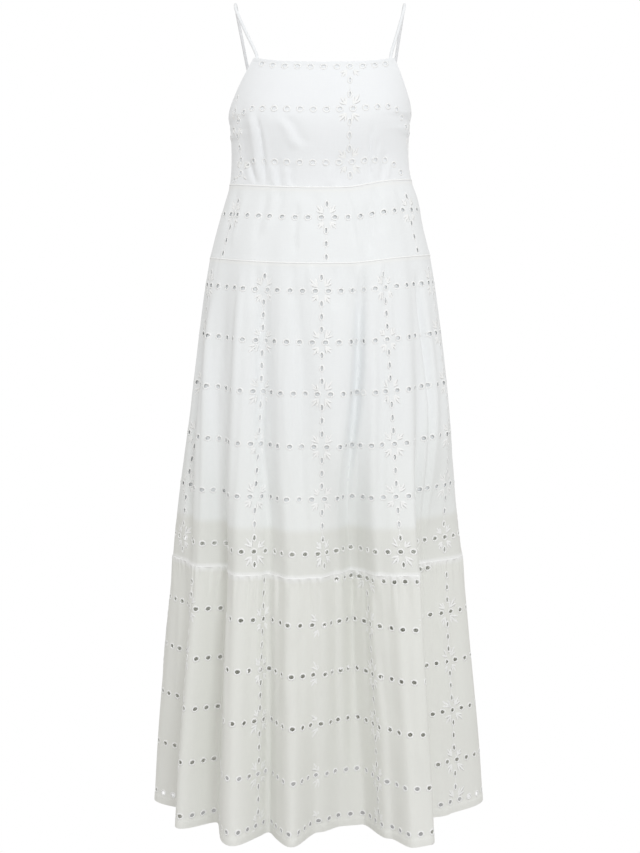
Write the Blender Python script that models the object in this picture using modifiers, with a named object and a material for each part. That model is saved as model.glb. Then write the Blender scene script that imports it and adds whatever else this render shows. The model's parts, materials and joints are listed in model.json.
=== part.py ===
"""Tiered maxi dress in white eyelet cotton, in the shape it has when worn, with nobody in it.

Metres, +Z up, +X to the right as seen from the front, which faces -Y. The origin lies midway between the
tops of the two straps, where the wearer's shoulders hold the dress.

All the cloth follows one drape: drape(angle, height) is the point of the cloth at an angle round the body,
in degrees from the centre front, and at a height measured at the side seams. Each piece is cut flat, in
angle and height, with its eyelets cut out of it. It is then laid on the drape and given its thickness.
"""
import math
from collections import namedtuple
from functools import lru_cache

import bpy
from mathutils import Vector
from mathutils.geometry import delaunay_2d_cdt

# Cloth, seams and straps
CLOTH = 0.0012
LINING_CLOTH = 0.0010
SEAM_GAP = 0.0003
HALF_SEAM = SEAM_GAP / 2
NARROWEST = 0.15
STRAP_RADIUS = 0.0026
STRAP_POINTS = 22
# A strap is sewn behind the cloth, this far down from its edge, and clears the edge by a little
STRAP_TUCK = 0.016
STRAP_OVER_EDGE = 0.004
STRAP_INBOARD = 1.5
# The strap's top, over the right shoulder, from front to back
SHOULDER = ((0.1362, -0.032, -0.0190), (0.1388, -0.016, -0.0072), (0.1396, 0.002, -STRAP_RADIUS),
            (0.1390, 0.020, -0.0080), (0.1372, 0.034, -0.0220))

# Heights at the side seams, down from the tops of the straps
UNDERARM = -0.186
WAIST = -0.298
SEAM_ONE = -0.419
MIDDLE = -0.700
LINING_HEM = -0.848
SEAM_TWO = -0.925
HEM = -1.356

# Level lines hang lower at the centre front than at the sides, and the right side is drawn up at the waist
Sag = namedtuple("Sag", "height front_dip right_lift")
SAGS = (
    Sag(-0.100, 0.008, 0.000),
    Sag(WAIST, 0.009, 0.008),
    Sag(SEAM_ONE, 0.009, 0.005),
    Sag(MIDDLE, 0.010, 0.000),
    Sag(SEAM_TWO, 0.005, 0.000),
    Sag(HEM, 0.005, 0.000),
)
RIGHT_LIFT_FROM = 0.25
RIGHT_LIFT_TO = 0.75

# The general figure that holds the dress out, from the neckline down
Section = namedtuple("Section", "height half_width front back shift")
SECTIONS = (
    Section(-0.060, 0.133, 0.078, 0.074, 0.006),
    Section(-0.100, 0.138, 0.090, 0.082, 0.006),
    Section(-0.140, 0.144, 0.103, 0.089, 0.003),
    Section(-0.186, 0.151, 0.112, 0.096, 0.000),
    Section(-0.215, 0.148, 0.112, 0.096, 0.000),
    Section(-0.260, 0.147, 0.107, 0.094, 0.000),
    Section(-0.298, 0.151, 0.106, 0.094, 0.001),
    Section(-0.330, 0.161, 0.113, 0.102, 0.002),
    Section(-0.370, 0.171, 0.122, 0.112, 0.000),
    Section(-0.422, 0.184, 0.133, 0.124, 0.000),
    Section(-0.500, 0.197, 0.144, 0.137, 0.000),
    Section(-0.660, 0.217, 0.160, 0.156, 0.000),
    Section(-0.830, 0.236, 0.175, 0.173, -0.005),
    Section(-0.930, 0.247, 0.183, 0.182, -0.004),
    Section(-1.090, 0.263, 0.192, 0.192, -0.004),
    Section(-1.250, 0.278, 0.200, 0.200, -0.003),
    Section(-1.400, 0.288, 0.206, 0.206, -0.002),
)

# The bust fills out the bodice beside the darts, on both sides of the centre front
BUST_ANGLE = 34.0
BUST_SPREAD = 17.0
BUST_HEIGHT = -0.190
BUST_RISE = 0.040
BUST_FULLNESS = 0.009

# Folds of the skirt, in order round the body from the left side seam. Each has its angle in degrees and how
# far it stands out in millimetres, at seam one, at the middle of tier two, at seam two and at the hem.
# A valley stands out by less than nothing.
FOLD_HEIGHTS = (WAIST, SEAM_ONE, MIDDLE, SEAM_TWO, HEM)
Fold = namedtuple("Fold", "name angles stands_out")
FOLDS = (
    Fold("left seam", (-90, -90, -90, -90), (0, 0, 0, 0)),
    Fold("left panel", (-79, -76, -71, -66), (0, 0, -14, -54)),
    Fold("left lobe", (-68, -62, -57, -52), (0, 5, -8, 14)),
    Fold("left valley", (-55, -49, -43, -41), (-2, -14, -50, -50)),
    Fold("left ridge", (-40, -35, -32, -29), (2, 8, 6, 32)),
    Fold("inner valley", (-27, -22, -18, -17), (-2, -15, -22, -38)),
    Fold("centre ridge", (-19, -14, -9, -9), (1, 5, -2, 12)),
    Fold("recess left", (-8, -6, 0, 0), (0, -3, -12, -58)),
    Fold("recess floor", (4, 7, 7, 8), (1, 3, -52, -84)),
    Fold("recess right", (20, 16, 15, 15), (-3, -16, -76, -86)),
    Fold("inner ridge", (29, 23, 24, 24), (1, 7, -10, -10)),
    Fold("right ridge", (37, 31, 32, 31), (1, 4, 10, 44)),
    Fold("right edge", (45, 41, 39, 37), (2, 9, 24, 44)),
    Fold("right valley", (54, 49, 46, 44), (-2, -15, -58, -60)),
    Fold("right panel", (66, 62, 60, 62), (0, 0, -42, -38)),
    Fold("right seam", (90, 90, 90, 90), (0, 0, 0, 0)),
    Fold("back lobe right", (112, 111, 110, 110), (1, 5, 9, 13)),
    Fold("back valley right", (125, 124, 122, 121), (-1, -11, -36, -52)),
    Fold("back ridge right", (138, 137, 136, 135), (1, 7, 14, 30)),
    Fold("back hollow right", (151, 150, 151, 150), (-2, -14, -42, -62)),
    Fold("back ridge middle", (164, 163, 164, 163), (1, 6, 10, 20)),
    Fold("back hollow middle", (178, 177, 178, 179), (-1, -10, -30, -48)),
    Fold("back ridge left", (192, 191, 192, 193), (1, 7, 14, 32)),
    Fold("back hollow left", (206, 205, 206, 208), (-2, -12, -38, -58)),
    Fold("back edge left", (220, 219, 220, 222), (1, 5, 12, 26)),
    Fold("back valley left", (234, 234, 236, 237), (-1, -9, -28, -44)),
    Fold("back lobe left", (249, 249, 250, 250), (0, 4, 8, 13)),
    Fold("left seam again", (270, 270, 270, 270), (0, 0, 0, 0)),
)

# Fine gathers under seam two: how deep they are at distances below it
GATHERS = 96
GATHER_DEPTHS = ((0.0, 0.0005), (0.012, 0.0018), (0.034, 0.0012), (0.075, 0.0))

# The lining starts just under the waist seam, close behind it, and falls free further down
LINING_DROP = 0.004
LINING_FREE = 0.010
LINING_FALL = 0.120

# The bodice's upper edge, as angle from the centre and height: neckline, corner, armhole, back
TOP_EDGE = (
    (0, -0.0990), (30, -0.0984), (56, -0.0930), (62, -0.1135), (69, -0.1360), (76, -0.1575), (84, -0.1765),
    (90, UNDERARM), (98, -0.1790), (112, -0.1610), (123, -0.1470), (150, -0.1500), (180, -0.1510),
)
FRONT_CORNER = 56
BACK_CORNER = 123

# Eyelets, cut through: one row in each band of the dress, all round, and two in tier two
EYELET_LONG = 0.0064
EYELET_TALL = 0.0046
EYELET_SIDES = 6
EYELET_PITCH = 0.0212
NECK_ROW_DROP = 0.0078
NECK_ROW_MARGIN = 5.0
TIER_ONE_EYELETS = -0.346
TIER_TWO_EYELETS = (-0.463, -0.886)
TIER_THREE_EYELETS = -1.336

# Flat cutting plan: a radian of angle is drawn this wide, so that triangles stay even. Inner points lie on
# rows, in columns, and keep clear of the edges and the eyelets.
WIDTH_OF_RADIAN = 0.20
EDGE_MARGIN = 0.008
EYELET_MARGIN = 0.0085
STEPS_TO_A_FOLD = 3
LINING_STEPS = 2
BODICE_COLUMNS = 24
GATHERED_ROWS = 0.040
BODICE_ROWS = (-0.120, -0.145, -0.170, -0.195, -0.222, -0.258)
TIER_ONE_ROWS = (-0.322, -0.384)
TIER_TWO_ROWS = (-0.500, -0.585, -0.670, -0.755, -0.835)
TIER_THREE_ROWS = (-0.945, -1.015, -1.100, -1.190, -1.275)
LINING_ROWS = (-0.400, -0.540, -0.690)

COTTON = (0.90, 0.91, 0.93)
LINING_COTTON = (0.93, 0.94, 0.96)


def smooth_through(knots, values, at):
    """A smooth curve through values at knots, which run downwards; level beyond both ends."""
    if at >= knots[0]:
        return values[0]
    if at <= knots[-1]:
        return values[-1]
    i = next(k for k in range(len(knots) - 1) if at >= knots[k + 1])

    def slope(k):
        low = max(k - 1, 0)
        high = min(k + 1, len(knots) - 1)
        return (values[high] - values[low]) / (knots[high] - knots[low])

    span = knots[i + 1] - knots[i]
    t = (at - knots[i]) / span
    start = values[i] * (1 + 2 * t) * (1 - t) ** 2 + slope(i) * span * t * (1 - t) ** 2
    end = values[i + 1] * t * t * (3 - 2 * t) - slope(i + 1) * span * t * t * (1 - t)
    return start + end


def straight_through(points, at):
    """The value at a place on straight lines through points, which are in rising order."""
    for (low, first), (high, second) in zip(points, points[1:]):
        if at <= high:
            return first + (second - first) * max(0.0, at - low) / (high - low)
    return points[-1][1]


def ease(t):
    return t * t * (3 - 2 * t)


def turn(angle):
    """The same angle between -90 degrees, the left side seam, and 270."""
    return (angle + 90.0) % 360.0 - 90.0


def top_edge(angle):
    return straight_through(TOP_EDGE, abs((angle + 180.0) % 360.0 - 180.0))


@lru_cache(maxsize=4096)
def figure(height):
    knots = [row.height for row in SECTIONS]
    return [smooth_through(knots, [row[column] for row in SECTIONS], height) for column in range(1, 5)]


@lru_cache(maxsize=4096)
def folds_at(height):
    """Each fold's angle and how far it stands out, in metres, at a height."""
    found = []
    for fold in FOLDS:
        angles = fold.angles[:1] + fold.angles
        depths = (0,) + fold.stands_out
        angle = smooth_through(FOLD_HEIGHTS, angles, height)
        found.append((angle, smooth_through(FOLD_HEIGHTS, depths, height) / 1000))
    return found


def fold_depth(angle, height):
    folds = folds_at(height)
    for (low, first), (high, second) in zip(folds, folds[1:]):
        if angle <= high:
            return first + (second - first) * ease(max(0.0, angle - low) / (high - low))
    return 0.0


def gather_depth(angle, height):
    below = SEAM_TWO - height
    if below < 0 or below > GATHER_DEPTHS[-1][0]:
        return 0.0
    return straight_through(GATHER_DEPTHS, below) * math.sin(math.radians(angle + 90) * GATHERS)


def bust_depth(angle, height):
    rise = ((height - BUST_HEIGHT) / BUST_RISE) ** 2
    sides = [((angle - side * BUST_ANGLE) / BUST_SPREAD) ** 2 for side in (-1, 1)]
    return BUST_FULLNESS * sum(math.exp(-0.5 * (rise + side)) for side in sides)


@lru_cache(maxsize=4096)
def sags_at(height):
    knots = [row.height for row in SAGS]
    return [smooth_through(knots, [row[column] for row in SAGS], height) for column in (1, 2)]


def drape(angle, height, behind=0.0):
    """The point at the middle of the cloth's thickness, or a distance in from it."""
    angle = turn(angle)
    half_width, front, back, shift = figure(height)
    front_dip, right_lift = sags_at(height)
    sine = math.sin(math.radians(angle))
    cosine = math.cos(math.radians(angle))
    depth = front if cosine > 0 else back
    lifted = (sine - RIGHT_LIFT_FROM) / (RIGHT_LIFT_TO - RIGHT_LIFT_FROM)
    level = height - front_dip * max(cosine, 0) ** 2 + right_lift * ease(min(max(lifted, 0.0), 1.0))
    outwards = Vector((sine ** 3, -cosine, 0)).normalized()
    push = fold_depth(angle, height) + gather_depth(angle, height) + bust_depth(angle, height)
    return Vector((half_width * sine + shift, -depth * cosine, level)) + outwards * (push - behind)


def slopes(angle, height, step=0.001):
    """How the cloth runs for a radian of angle and for a metre of height."""
    turned = math.degrees(step)
    across = (drape(angle + turned, height) - drape(angle - turned, height)) / (2 * step)
    upwards = (drape(angle, height + step) - drape(angle, height - step)) / (2 * step)
    return across, upwards


def inside(angle, height, distance):
    """The point at a distance behind the middle of the cloth, square to it."""
    across, upwards = slopes(angle, height)
    return drape(angle, height) - across.cross(upwards).normalized() * distance


def spread_eyelets(height_at, left, right):
    """Centres of the eyelets of one row, as angle and height, a pitch apart along the cloth."""
    steps = int(right - left) * 2
    angles = [left + (right - left) * i / steps for i in range(steps + 1)]
    points = [drape(angle, height_at(angle)) for angle in angles]
    run = [0.0]
    for first, second in zip(points, points[1:]):
        run.append(run[-1] + (second - first).length)
    count = round(run[-1] / EYELET_PITCH)
    centres = []
    for i in range(count):
        angle = straight_through(list(zip(run, angles)), run[-1] * (i + 0.5) / count)
        centres.append((angle, height_at(angle)))
    return centres


def eyelet_outline(angle, height):
    """An oval hole on the flat cutting plan, of the eyelet's true size once it is draped."""
    across, upwards = slopes(angle, height)
    half_long = EYELET_LONG / 2 / across.length
    half_tall = EYELET_TALL / 2 / upwards.length
    corners = []
    for i in range(EYELET_SIDES):
        turned = 2 * math.pi * i / EYELET_SIDES
        corners.append(Vector(((math.radians(angle) + half_long * math.cos(turned)) * WIDTH_OF_RADIAN,
                               height + half_tall * math.sin(turned))))
    return corners


def fold_columns(height, left, right, steps=STEPS_TO_A_FOLD):
    """Angles between two seams that follow the folds down the skirt."""
    folds = folds_at(height)
    angles = []
    for (low, _), (high, _) in zip(folds, folds[1:]):
        angles += [low + (high - low) * i / steps for i in range(steps)]
    return [angle for angle in angles if left + 0.5 < angle < right - 0.5]


def lining_columns(height, left, right):
    """The same folds, more plainly, for the cloth behind."""
    return fold_columns(height, left, right, LINING_STEPS)


def gather_columns(height, left, right):
    """Angles at the top and bottom of each small gather."""
    count = round((right - left) / 360 * GATHERS * 2)
    return [left + (right - left) * (i + 0.5) / count for i in range(count)]


def bodice_columns(height, left, right):
    """Even angles, and those of the corners where the straps are sewn."""
    even = [left + (right - left) * i / BODICE_COLUMNS for i in range(1, BODICE_COLUMNS)]
    corners = [-FRONT_CORNER, FRONT_CORNER, BACK_CORNER, 360 - BACK_CORNER]
    return sorted(even + [angle for angle in corners if left < angle < right])


def cut_piece(name, seams, upper, lower, rows, columns, eyelets=(), upper_columns=None, inset=None):
    """Cut one piece flat, lay it on the drape and thicken it.

    seams: angles of its left and right edges. upper, lower: heights of its edges, from an angle.
    rows: heights at which its inner points lie. columns: the angles of those points, from a height.
    inset: how far the piece lies behind the outer cloth, from a height.
    """
    left, right = seams
    slack = math.degrees(HALF_SEAM / NARROWEST)
    left += slack
    right -= slack
    sides = [height for height in rows if lower(left) + EDGE_MARGIN < height < upper(left) - EDGE_MARGIN]
    sides.sort()
    top_columns = upper_columns or columns
    bottom = [(angle, lower(angle)) for angle in [left, *columns(lower(0), left, right), right]]
    top = [(angle, upper(angle)) for angle in [left, *top_columns(upper(0), left, right), right]]
    outline = bottom + [(right, h) for h in sides] + top[::-1] + [(left, h) for h in sides[::-1]]

    flat = [Vector((math.radians(angle) * WIDTH_OF_RADIAN, height)) for angle, height in outline]
    edges = [(i, (i + 1) % len(flat)) for i in range(len(flat))]
    centres = [Vector((math.radians(angle) * WIDTH_OF_RADIAN, height)) for angle, height in eyelets]
    hole_of = {}
    for number, (angle, height) in enumerate(eyelets):
        hole = eyelet_outline(angle, height)
        edges += [(len(flat) + i, len(flat) + (i + 1) % len(hole)) for i in range(len(hole))]
        hole_of.update((len(flat) + i, number) for i in range(len(hole)))
        flat += hole
    for height in rows:
        use = upper_columns if upper_columns and height > upper(0) - GATHERED_ROWS else columns
        for angle in use(height, left, right):
            point = Vector((math.radians(angle) * WIDTH_OF_RADIAN, height))
            clear = all((point - centre).length > EYELET_MARGIN for centre in centres)
            if clear and lower(angle) + EDGE_MARGIN < height < upper(angle) - EDGE_MARGIN:
                flat.append(point)

    inside = 1
    cut, _, faces, came_from, *_ = delaunay_2d_cdt(flat, edges, [], inside, 1e-7)
    # a triangle with its three corners on one eyelet's outline is the waste inside it
    hole_at = [hole_of.get(first[0]) if first else None for first in came_from]
    cloth_faces = []
    for face in faces:
        holes = {hole_at[corner] for corner in face}
        if len(holes) > 1 or None in holes:
            cloth_faces.append(face)
    points = []
    for across, height in cut:
        angle = math.degrees(across / WIDTH_OF_RADIAN)
        points.append(drape(angle, height, inset(height) if inset else 0.0))

    mesh = bpy.data.meshes.new(name)
    mesh.from_pydata(points, [], cloth_faces)
    mesh.shade_smooth()
    piece = bpy.data.objects.new(name, mesh)
    solidify = piece.modifiers.new("cloth", "SOLIDIFY")
    solidify.thickness = LINING_CLOTH if inset else CLOTH
    solidify.offset = 0.0
    dress.objects.link(piece)
    piece.data.materials.append(cloth_material(name, LINING_COTTON if inset else COTTON))
    return piece


def cloth_material(name, colour):
    material = bpy.data.materials.new(name)
    material.use_nodes = True
    shader = material.node_tree.nodes["Principled BSDF"]
    shader.inputs["Base Color"].default_value = (*colour, 1.0)
    shader.inputs["Roughness"].default_value = 0.85
    shader.inputs["Metallic"].default_value = 0.0
    return material


def strap_route(side):
    """From inside the neckline's corner, over the shoulder, to inside the back's upper edge."""
    behind = CLOTH / 2 + SEAM_GAP + STRAP_RADIUS
    front = FRONT_CORNER - STRAP_INBOARD
    back = BACK_CORNER + STRAP_INBOARD
    front_low = inside(side * front, top_edge(front) - STRAP_TUCK, behind)
    front_high = inside(side * front, top_edge(front) + STRAP_OVER_EDGE, behind)
    back_high = inside(side * back, top_edge(back) + STRAP_OVER_EDGE, behind)
    back_low = inside(side * back, top_edge(back) - STRAP_TUCK, behind)
    shoulder = [Vector((side * across, depth, height)) for across, depth, height in SHOULDER]
    rise = front_high.lerp(shoulder[0], 0.5)
    fall = shoulder[-1].lerp(back_high, 0.5)
    return [front_low, front_high, rise, *shoulder, fall, back_high, back_low]


def strap(name, side):
    knots = strap_route(side)
    places = list(range(0, -len(knots), -1))
    curve = bpy.data.curves.new(name, "CURVE")
    curve.dimensions = "3D"
    curve.bevel_depth = STRAP_RADIUS
    curve.bevel_resolution = 2
    curve.use_fill_caps = True
    spline = curve.splines.new("POLY")
    spline.points.add(STRAP_POINTS - 1)
    for i, point in enumerate(spline.points):
        at = places[-1] * i / (STRAP_POINTS - 1)
        point.co = [smooth_through(places, [knot[axis] for knot in knots], at) for axis in range(3)] + [1.0]
    piece = bpy.data.objects.new(name, curve)
    dress.objects.link(piece)
    curve.materials.append(cloth_material(name, COTTON))
    return piece


def level(height):
    """An edge at one height all round."""
    return lambda angle: height


def lining_inset(height):
    """The lining is caught close behind the waist seam and falls free below it."""
    seam = (CLOTH + LINING_CLOTH) / 2 + SEAM_GAP
    return seam + (LINING_FREE - seam) * ease(min(1.0, (WAIST - height) / LINING_FALL))


def half_rows(seams):
    """The eyelet rows of the skirt on one half of the dress."""
    return {height: spread_eyelets(level(height), *seams)
            for height in (TIER_ONE_EYELETS, *TIER_TWO_EYELETS, TIER_THREE_EYELETS)}


def neck_row(seams, corner):
    """The eyelets that follow the bodice's upper edge between its two corners."""
    middle = sum(seams) / 2
    reach = abs(corner - middle) - NECK_ROW_MARGIN
    return spread_eyelets(lambda angle: top_edge(angle) - NECK_ROW_DROP, middle - reach, middle + reach)


for old in list(bpy.data.objects):
    bpy.data.objects.remove(old, do_unlink=True)
dress = bpy.data.collections.new("maxi_dress")
bpy.context.scene.collection.children.link(dress)

HALVES = {"front": ((-90.0, 90.0), FRONT_CORNER), "back": ((90.0, 270.0), BACK_CORNER)}
for half, (seams, corner) in HALVES.items():
    holes = half_rows(seams)
    tier_two_holes = holes[TIER_TWO_EYELETS[0]] + holes[TIER_TWO_EYELETS[1]]
    cut_piece("bodice_" + half, seams, top_edge, level(WAIST + HALF_SEAM), BODICE_ROWS, bodice_columns,
              neck_row(seams, corner))
    cut_piece("tier_one_" + half, seams, level(WAIST - HALF_SEAM), level(SEAM_ONE + HALF_SEAM), TIER_ONE_ROWS,
              bodice_columns, holes[TIER_ONE_EYELETS])
    cut_piece("tier_two_" + half, seams, level(SEAM_ONE - HALF_SEAM), level(SEAM_TWO + HALF_SEAM),
              TIER_TWO_ROWS, fold_columns, tier_two_holes)
    cut_piece("tier_three_" + half, seams, level(SEAM_TWO - HALF_SEAM), level(HEM), TIER_THREE_ROWS,
              fold_columns, holes[TIER_THREE_EYELETS], gather_columns)
    cut_piece("lining_" + half, seams, level(WAIST - LINING_DROP), level(LINING_HEM), LINING_ROWS,
              lining_columns, inset=lining_inset)
strap("strap_left", -1)
strap("strap_right", 1)
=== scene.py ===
import json
import math

import bpy
import numpy as np
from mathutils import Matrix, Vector
from mathutils.geometry import delaunay_2d_cdt

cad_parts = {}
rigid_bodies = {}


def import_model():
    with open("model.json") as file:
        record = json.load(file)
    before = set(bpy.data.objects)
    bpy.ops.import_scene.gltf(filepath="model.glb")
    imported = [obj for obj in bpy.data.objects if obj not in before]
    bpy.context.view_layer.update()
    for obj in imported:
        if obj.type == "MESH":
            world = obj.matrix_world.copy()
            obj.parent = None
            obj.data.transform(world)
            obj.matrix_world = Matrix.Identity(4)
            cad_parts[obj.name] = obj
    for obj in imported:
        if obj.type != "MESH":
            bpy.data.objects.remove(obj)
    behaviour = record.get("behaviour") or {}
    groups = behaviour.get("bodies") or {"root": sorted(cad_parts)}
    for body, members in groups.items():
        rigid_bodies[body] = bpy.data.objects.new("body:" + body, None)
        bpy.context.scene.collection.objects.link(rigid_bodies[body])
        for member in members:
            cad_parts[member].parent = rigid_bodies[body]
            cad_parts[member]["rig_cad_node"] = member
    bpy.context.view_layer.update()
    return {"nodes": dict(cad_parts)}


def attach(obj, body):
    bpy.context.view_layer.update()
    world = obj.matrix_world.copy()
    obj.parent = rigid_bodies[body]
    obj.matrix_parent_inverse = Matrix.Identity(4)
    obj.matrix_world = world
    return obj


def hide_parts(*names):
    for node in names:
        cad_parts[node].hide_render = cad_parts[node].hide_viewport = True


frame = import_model()
print("nodes:", sorted(frame["nodes"]))

# %% [markdown]
# Sizes come first, in metres. They are the sizes that the solids were made with, so the fine cloth and the
# plain solids share one form. Heights run down from the tops of the straps, and are measured at the side
# seams.
# %% Sizes of the dress
CLOTH = 0.0012
LINING_CLOTH = 0.0010
SEAM_GAP = 0.0003
HALF_SEAM = SEAM_GAP / 2
NARROWEST = 0.15
UNDERARM = -0.186
WAIST = -0.298
SEAM_ONE = -0.419
MIDDLE = -0.700
LINING_HEM = -0.848
SEAM_TWO = -0.925
HEM = -1.356
FRONT_CORNER = 56
BACK_CORNER = 123
FRONT_SEAMS = (-90.0, 90.0)
BACK_SEAMS = (90.0, 270.0)

# height, how much level lines dip at the centre front, how much the right side is drawn up
SAGS = np.array((
    (-0.100, 0.008, 0.000), (WAIST, 0.009, 0.008), (SEAM_ONE, 0.009, 0.005),
    (MIDDLE, 0.010, 0.000), (SEAM_TWO, 0.005, 0.000), (HEM, 0.005, 0.000),
))

# height, half width, depth of the front, depth of the back, shift to the right
FIGURE = np.array((
    (-0.060, 0.133, 0.078, 0.074, 0.006), (-0.100, 0.138, 0.090, 0.082, 0.006),
    (-0.140, 0.144, 0.103, 0.089, 0.003), (-0.186, 0.151, 0.112, 0.096, 0.000),
    (-0.215, 0.148, 0.112, 0.096, 0.000), (-0.260, 0.147, 0.107, 0.094, 0.000),
    (-0.298, 0.151, 0.106, 0.094, 0.001), (-0.330, 0.161, 0.113, 0.102, 0.002),
    (-0.370, 0.171, 0.122, 0.112, 0.000), (-0.422, 0.184, 0.133, 0.124, 0.000),
    (-0.500, 0.197, 0.144, 0.137, 0.000), (-0.660, 0.217, 0.160, 0.156, 0.000),
    (-0.830, 0.236, 0.175, 0.173, -0.005), (-0.930, 0.247, 0.183, 0.182, -0.004),
    (-1.090, 0.263, 0.192, 0.192, -0.004), (-1.250, 0.278, 0.200, 0.200, -0.003),
    (-1.400, 0.288, 0.206, 0.206, -0.002),
))

# The bodice's upper edge, as degrees from the centre front and height
TOP_EDGE = np.array((
    (0, -0.0990), (30, -0.0984), (56, -0.0930), (62, -0.1135), (69, -0.1360), (76, -0.1575), (84, -0.1765),
    (90, UNDERARM), (98, -0.1790), (112, -0.1610), (123, -0.1470), (150, -0.1500), (180, -0.1510),
))
print("from the straps to the hem:", -HEM, "m")

# %% [markdown]
# Folds are the main thing that the eye sees in a long white dress. They are placed one by one, in order
# round the body. Each has an angle and a depth at four heights, and the cloth runs smoothly from one to the
# next, so a fold can lean, deepen or die out on its way down. A cloth simulation would also give folds, but
# not these ones in these places.
# %% The folds, placed one by one
FOLD_HEIGHTS = np.array((WAIST, SEAM_ONE, MIDDLE, SEAM_TWO, HEM))
# angles at seam one, the middle of tier two, seam two and the hem; then how far the cloth stands out, in mm
FOLDS = {
    "left seam": ((-90, -90, -90, -90), (0, 0, 0, 0)),
    "left panel": ((-79, -76, -71, -66), (0, 0, -14, -54)),
    "left lobe": ((-68, -62, -57, -52), (0, 5, -8, 14)),
    "left valley": ((-55, -49, -43, -41), (-2, -14, -50, -50)),
    "left ridge": ((-40, -35, -32, -29), (2, 8, 6, 32)),
    "inner valley": ((-27, -22, -18, -17), (-2, -15, -22, -38)),
    "centre ridge": ((-19, -14, -9, -9), (1, 5, -2, 12)),
    "recess left": ((-8, -6, 0, 0), (0, -3, -12, -58)),
    "recess floor": ((4, 7, 7, 8), (1, 3, -52, -84)),
    "recess right": ((20, 16, 15, 15), (-3, -16, -76, -86)),
    "inner ridge": ((29, 23, 24, 24), (1, 7, -10, -10)),
    "right ridge": ((37, 31, 32, 31), (1, 4, 10, 44)),
    "right edge": ((45, 41, 39, 37), (2, 9, 24, 44)),
    "right valley": ((54, 49, 46, 44), (-2, -15, -58, -60)),
    "right panel": ((66, 62, 60, 62), (0, 0, -42, -38)),
    "right seam": ((90, 90, 90, 90), (0, 0, 0, 0)),
    "back lobe right": ((112, 111, 110, 110), (1, 5, 9, 13)),
    "back valley right": ((125, 124, 122, 121), (-1, -11, -36, -52)),
    "back ridge right": ((138, 137, 136, 135), (1, 7, 14, 30)),
    "back hollow right": ((151, 150, 151, 150), (-2, -14, -42, -62)),
    "back ridge middle": ((164, 163, 164, 163), (1, 6, 10, 20)),
    "back hollow middle": ((178, 177, 178, 179), (-1, -10, -30, -48)),
    "back ridge left": ((192, 191, 192, 193), (1, 7, 14, 32)),
    "back hollow left": ((206, 205, 206, 208), (-2, -12, -38, -58)),
    "back edge left": ((220, 219, 220, 222), (1, 5, 12, 26)),
    "back valley left": ((234, 234, 236, 237), (-1, -9, -28, -44)),
    "back lobe left": ((249, 249, 250, 250), (0, 4, 8, 13)),
    "left seam again": ((270, 270, 270, 270), (0, 0, 0, 0)),
}
FOLD_ANGLES = np.array([fold[0][:1] + fold[0] for fold in FOLDS.values()], float).T
FOLD_DEPTHS = np.array([(0,) + fold[1] for fold in FOLDS.values()], float).T / 1000
print("large folds:", len(FOLDS) - 2)
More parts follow.
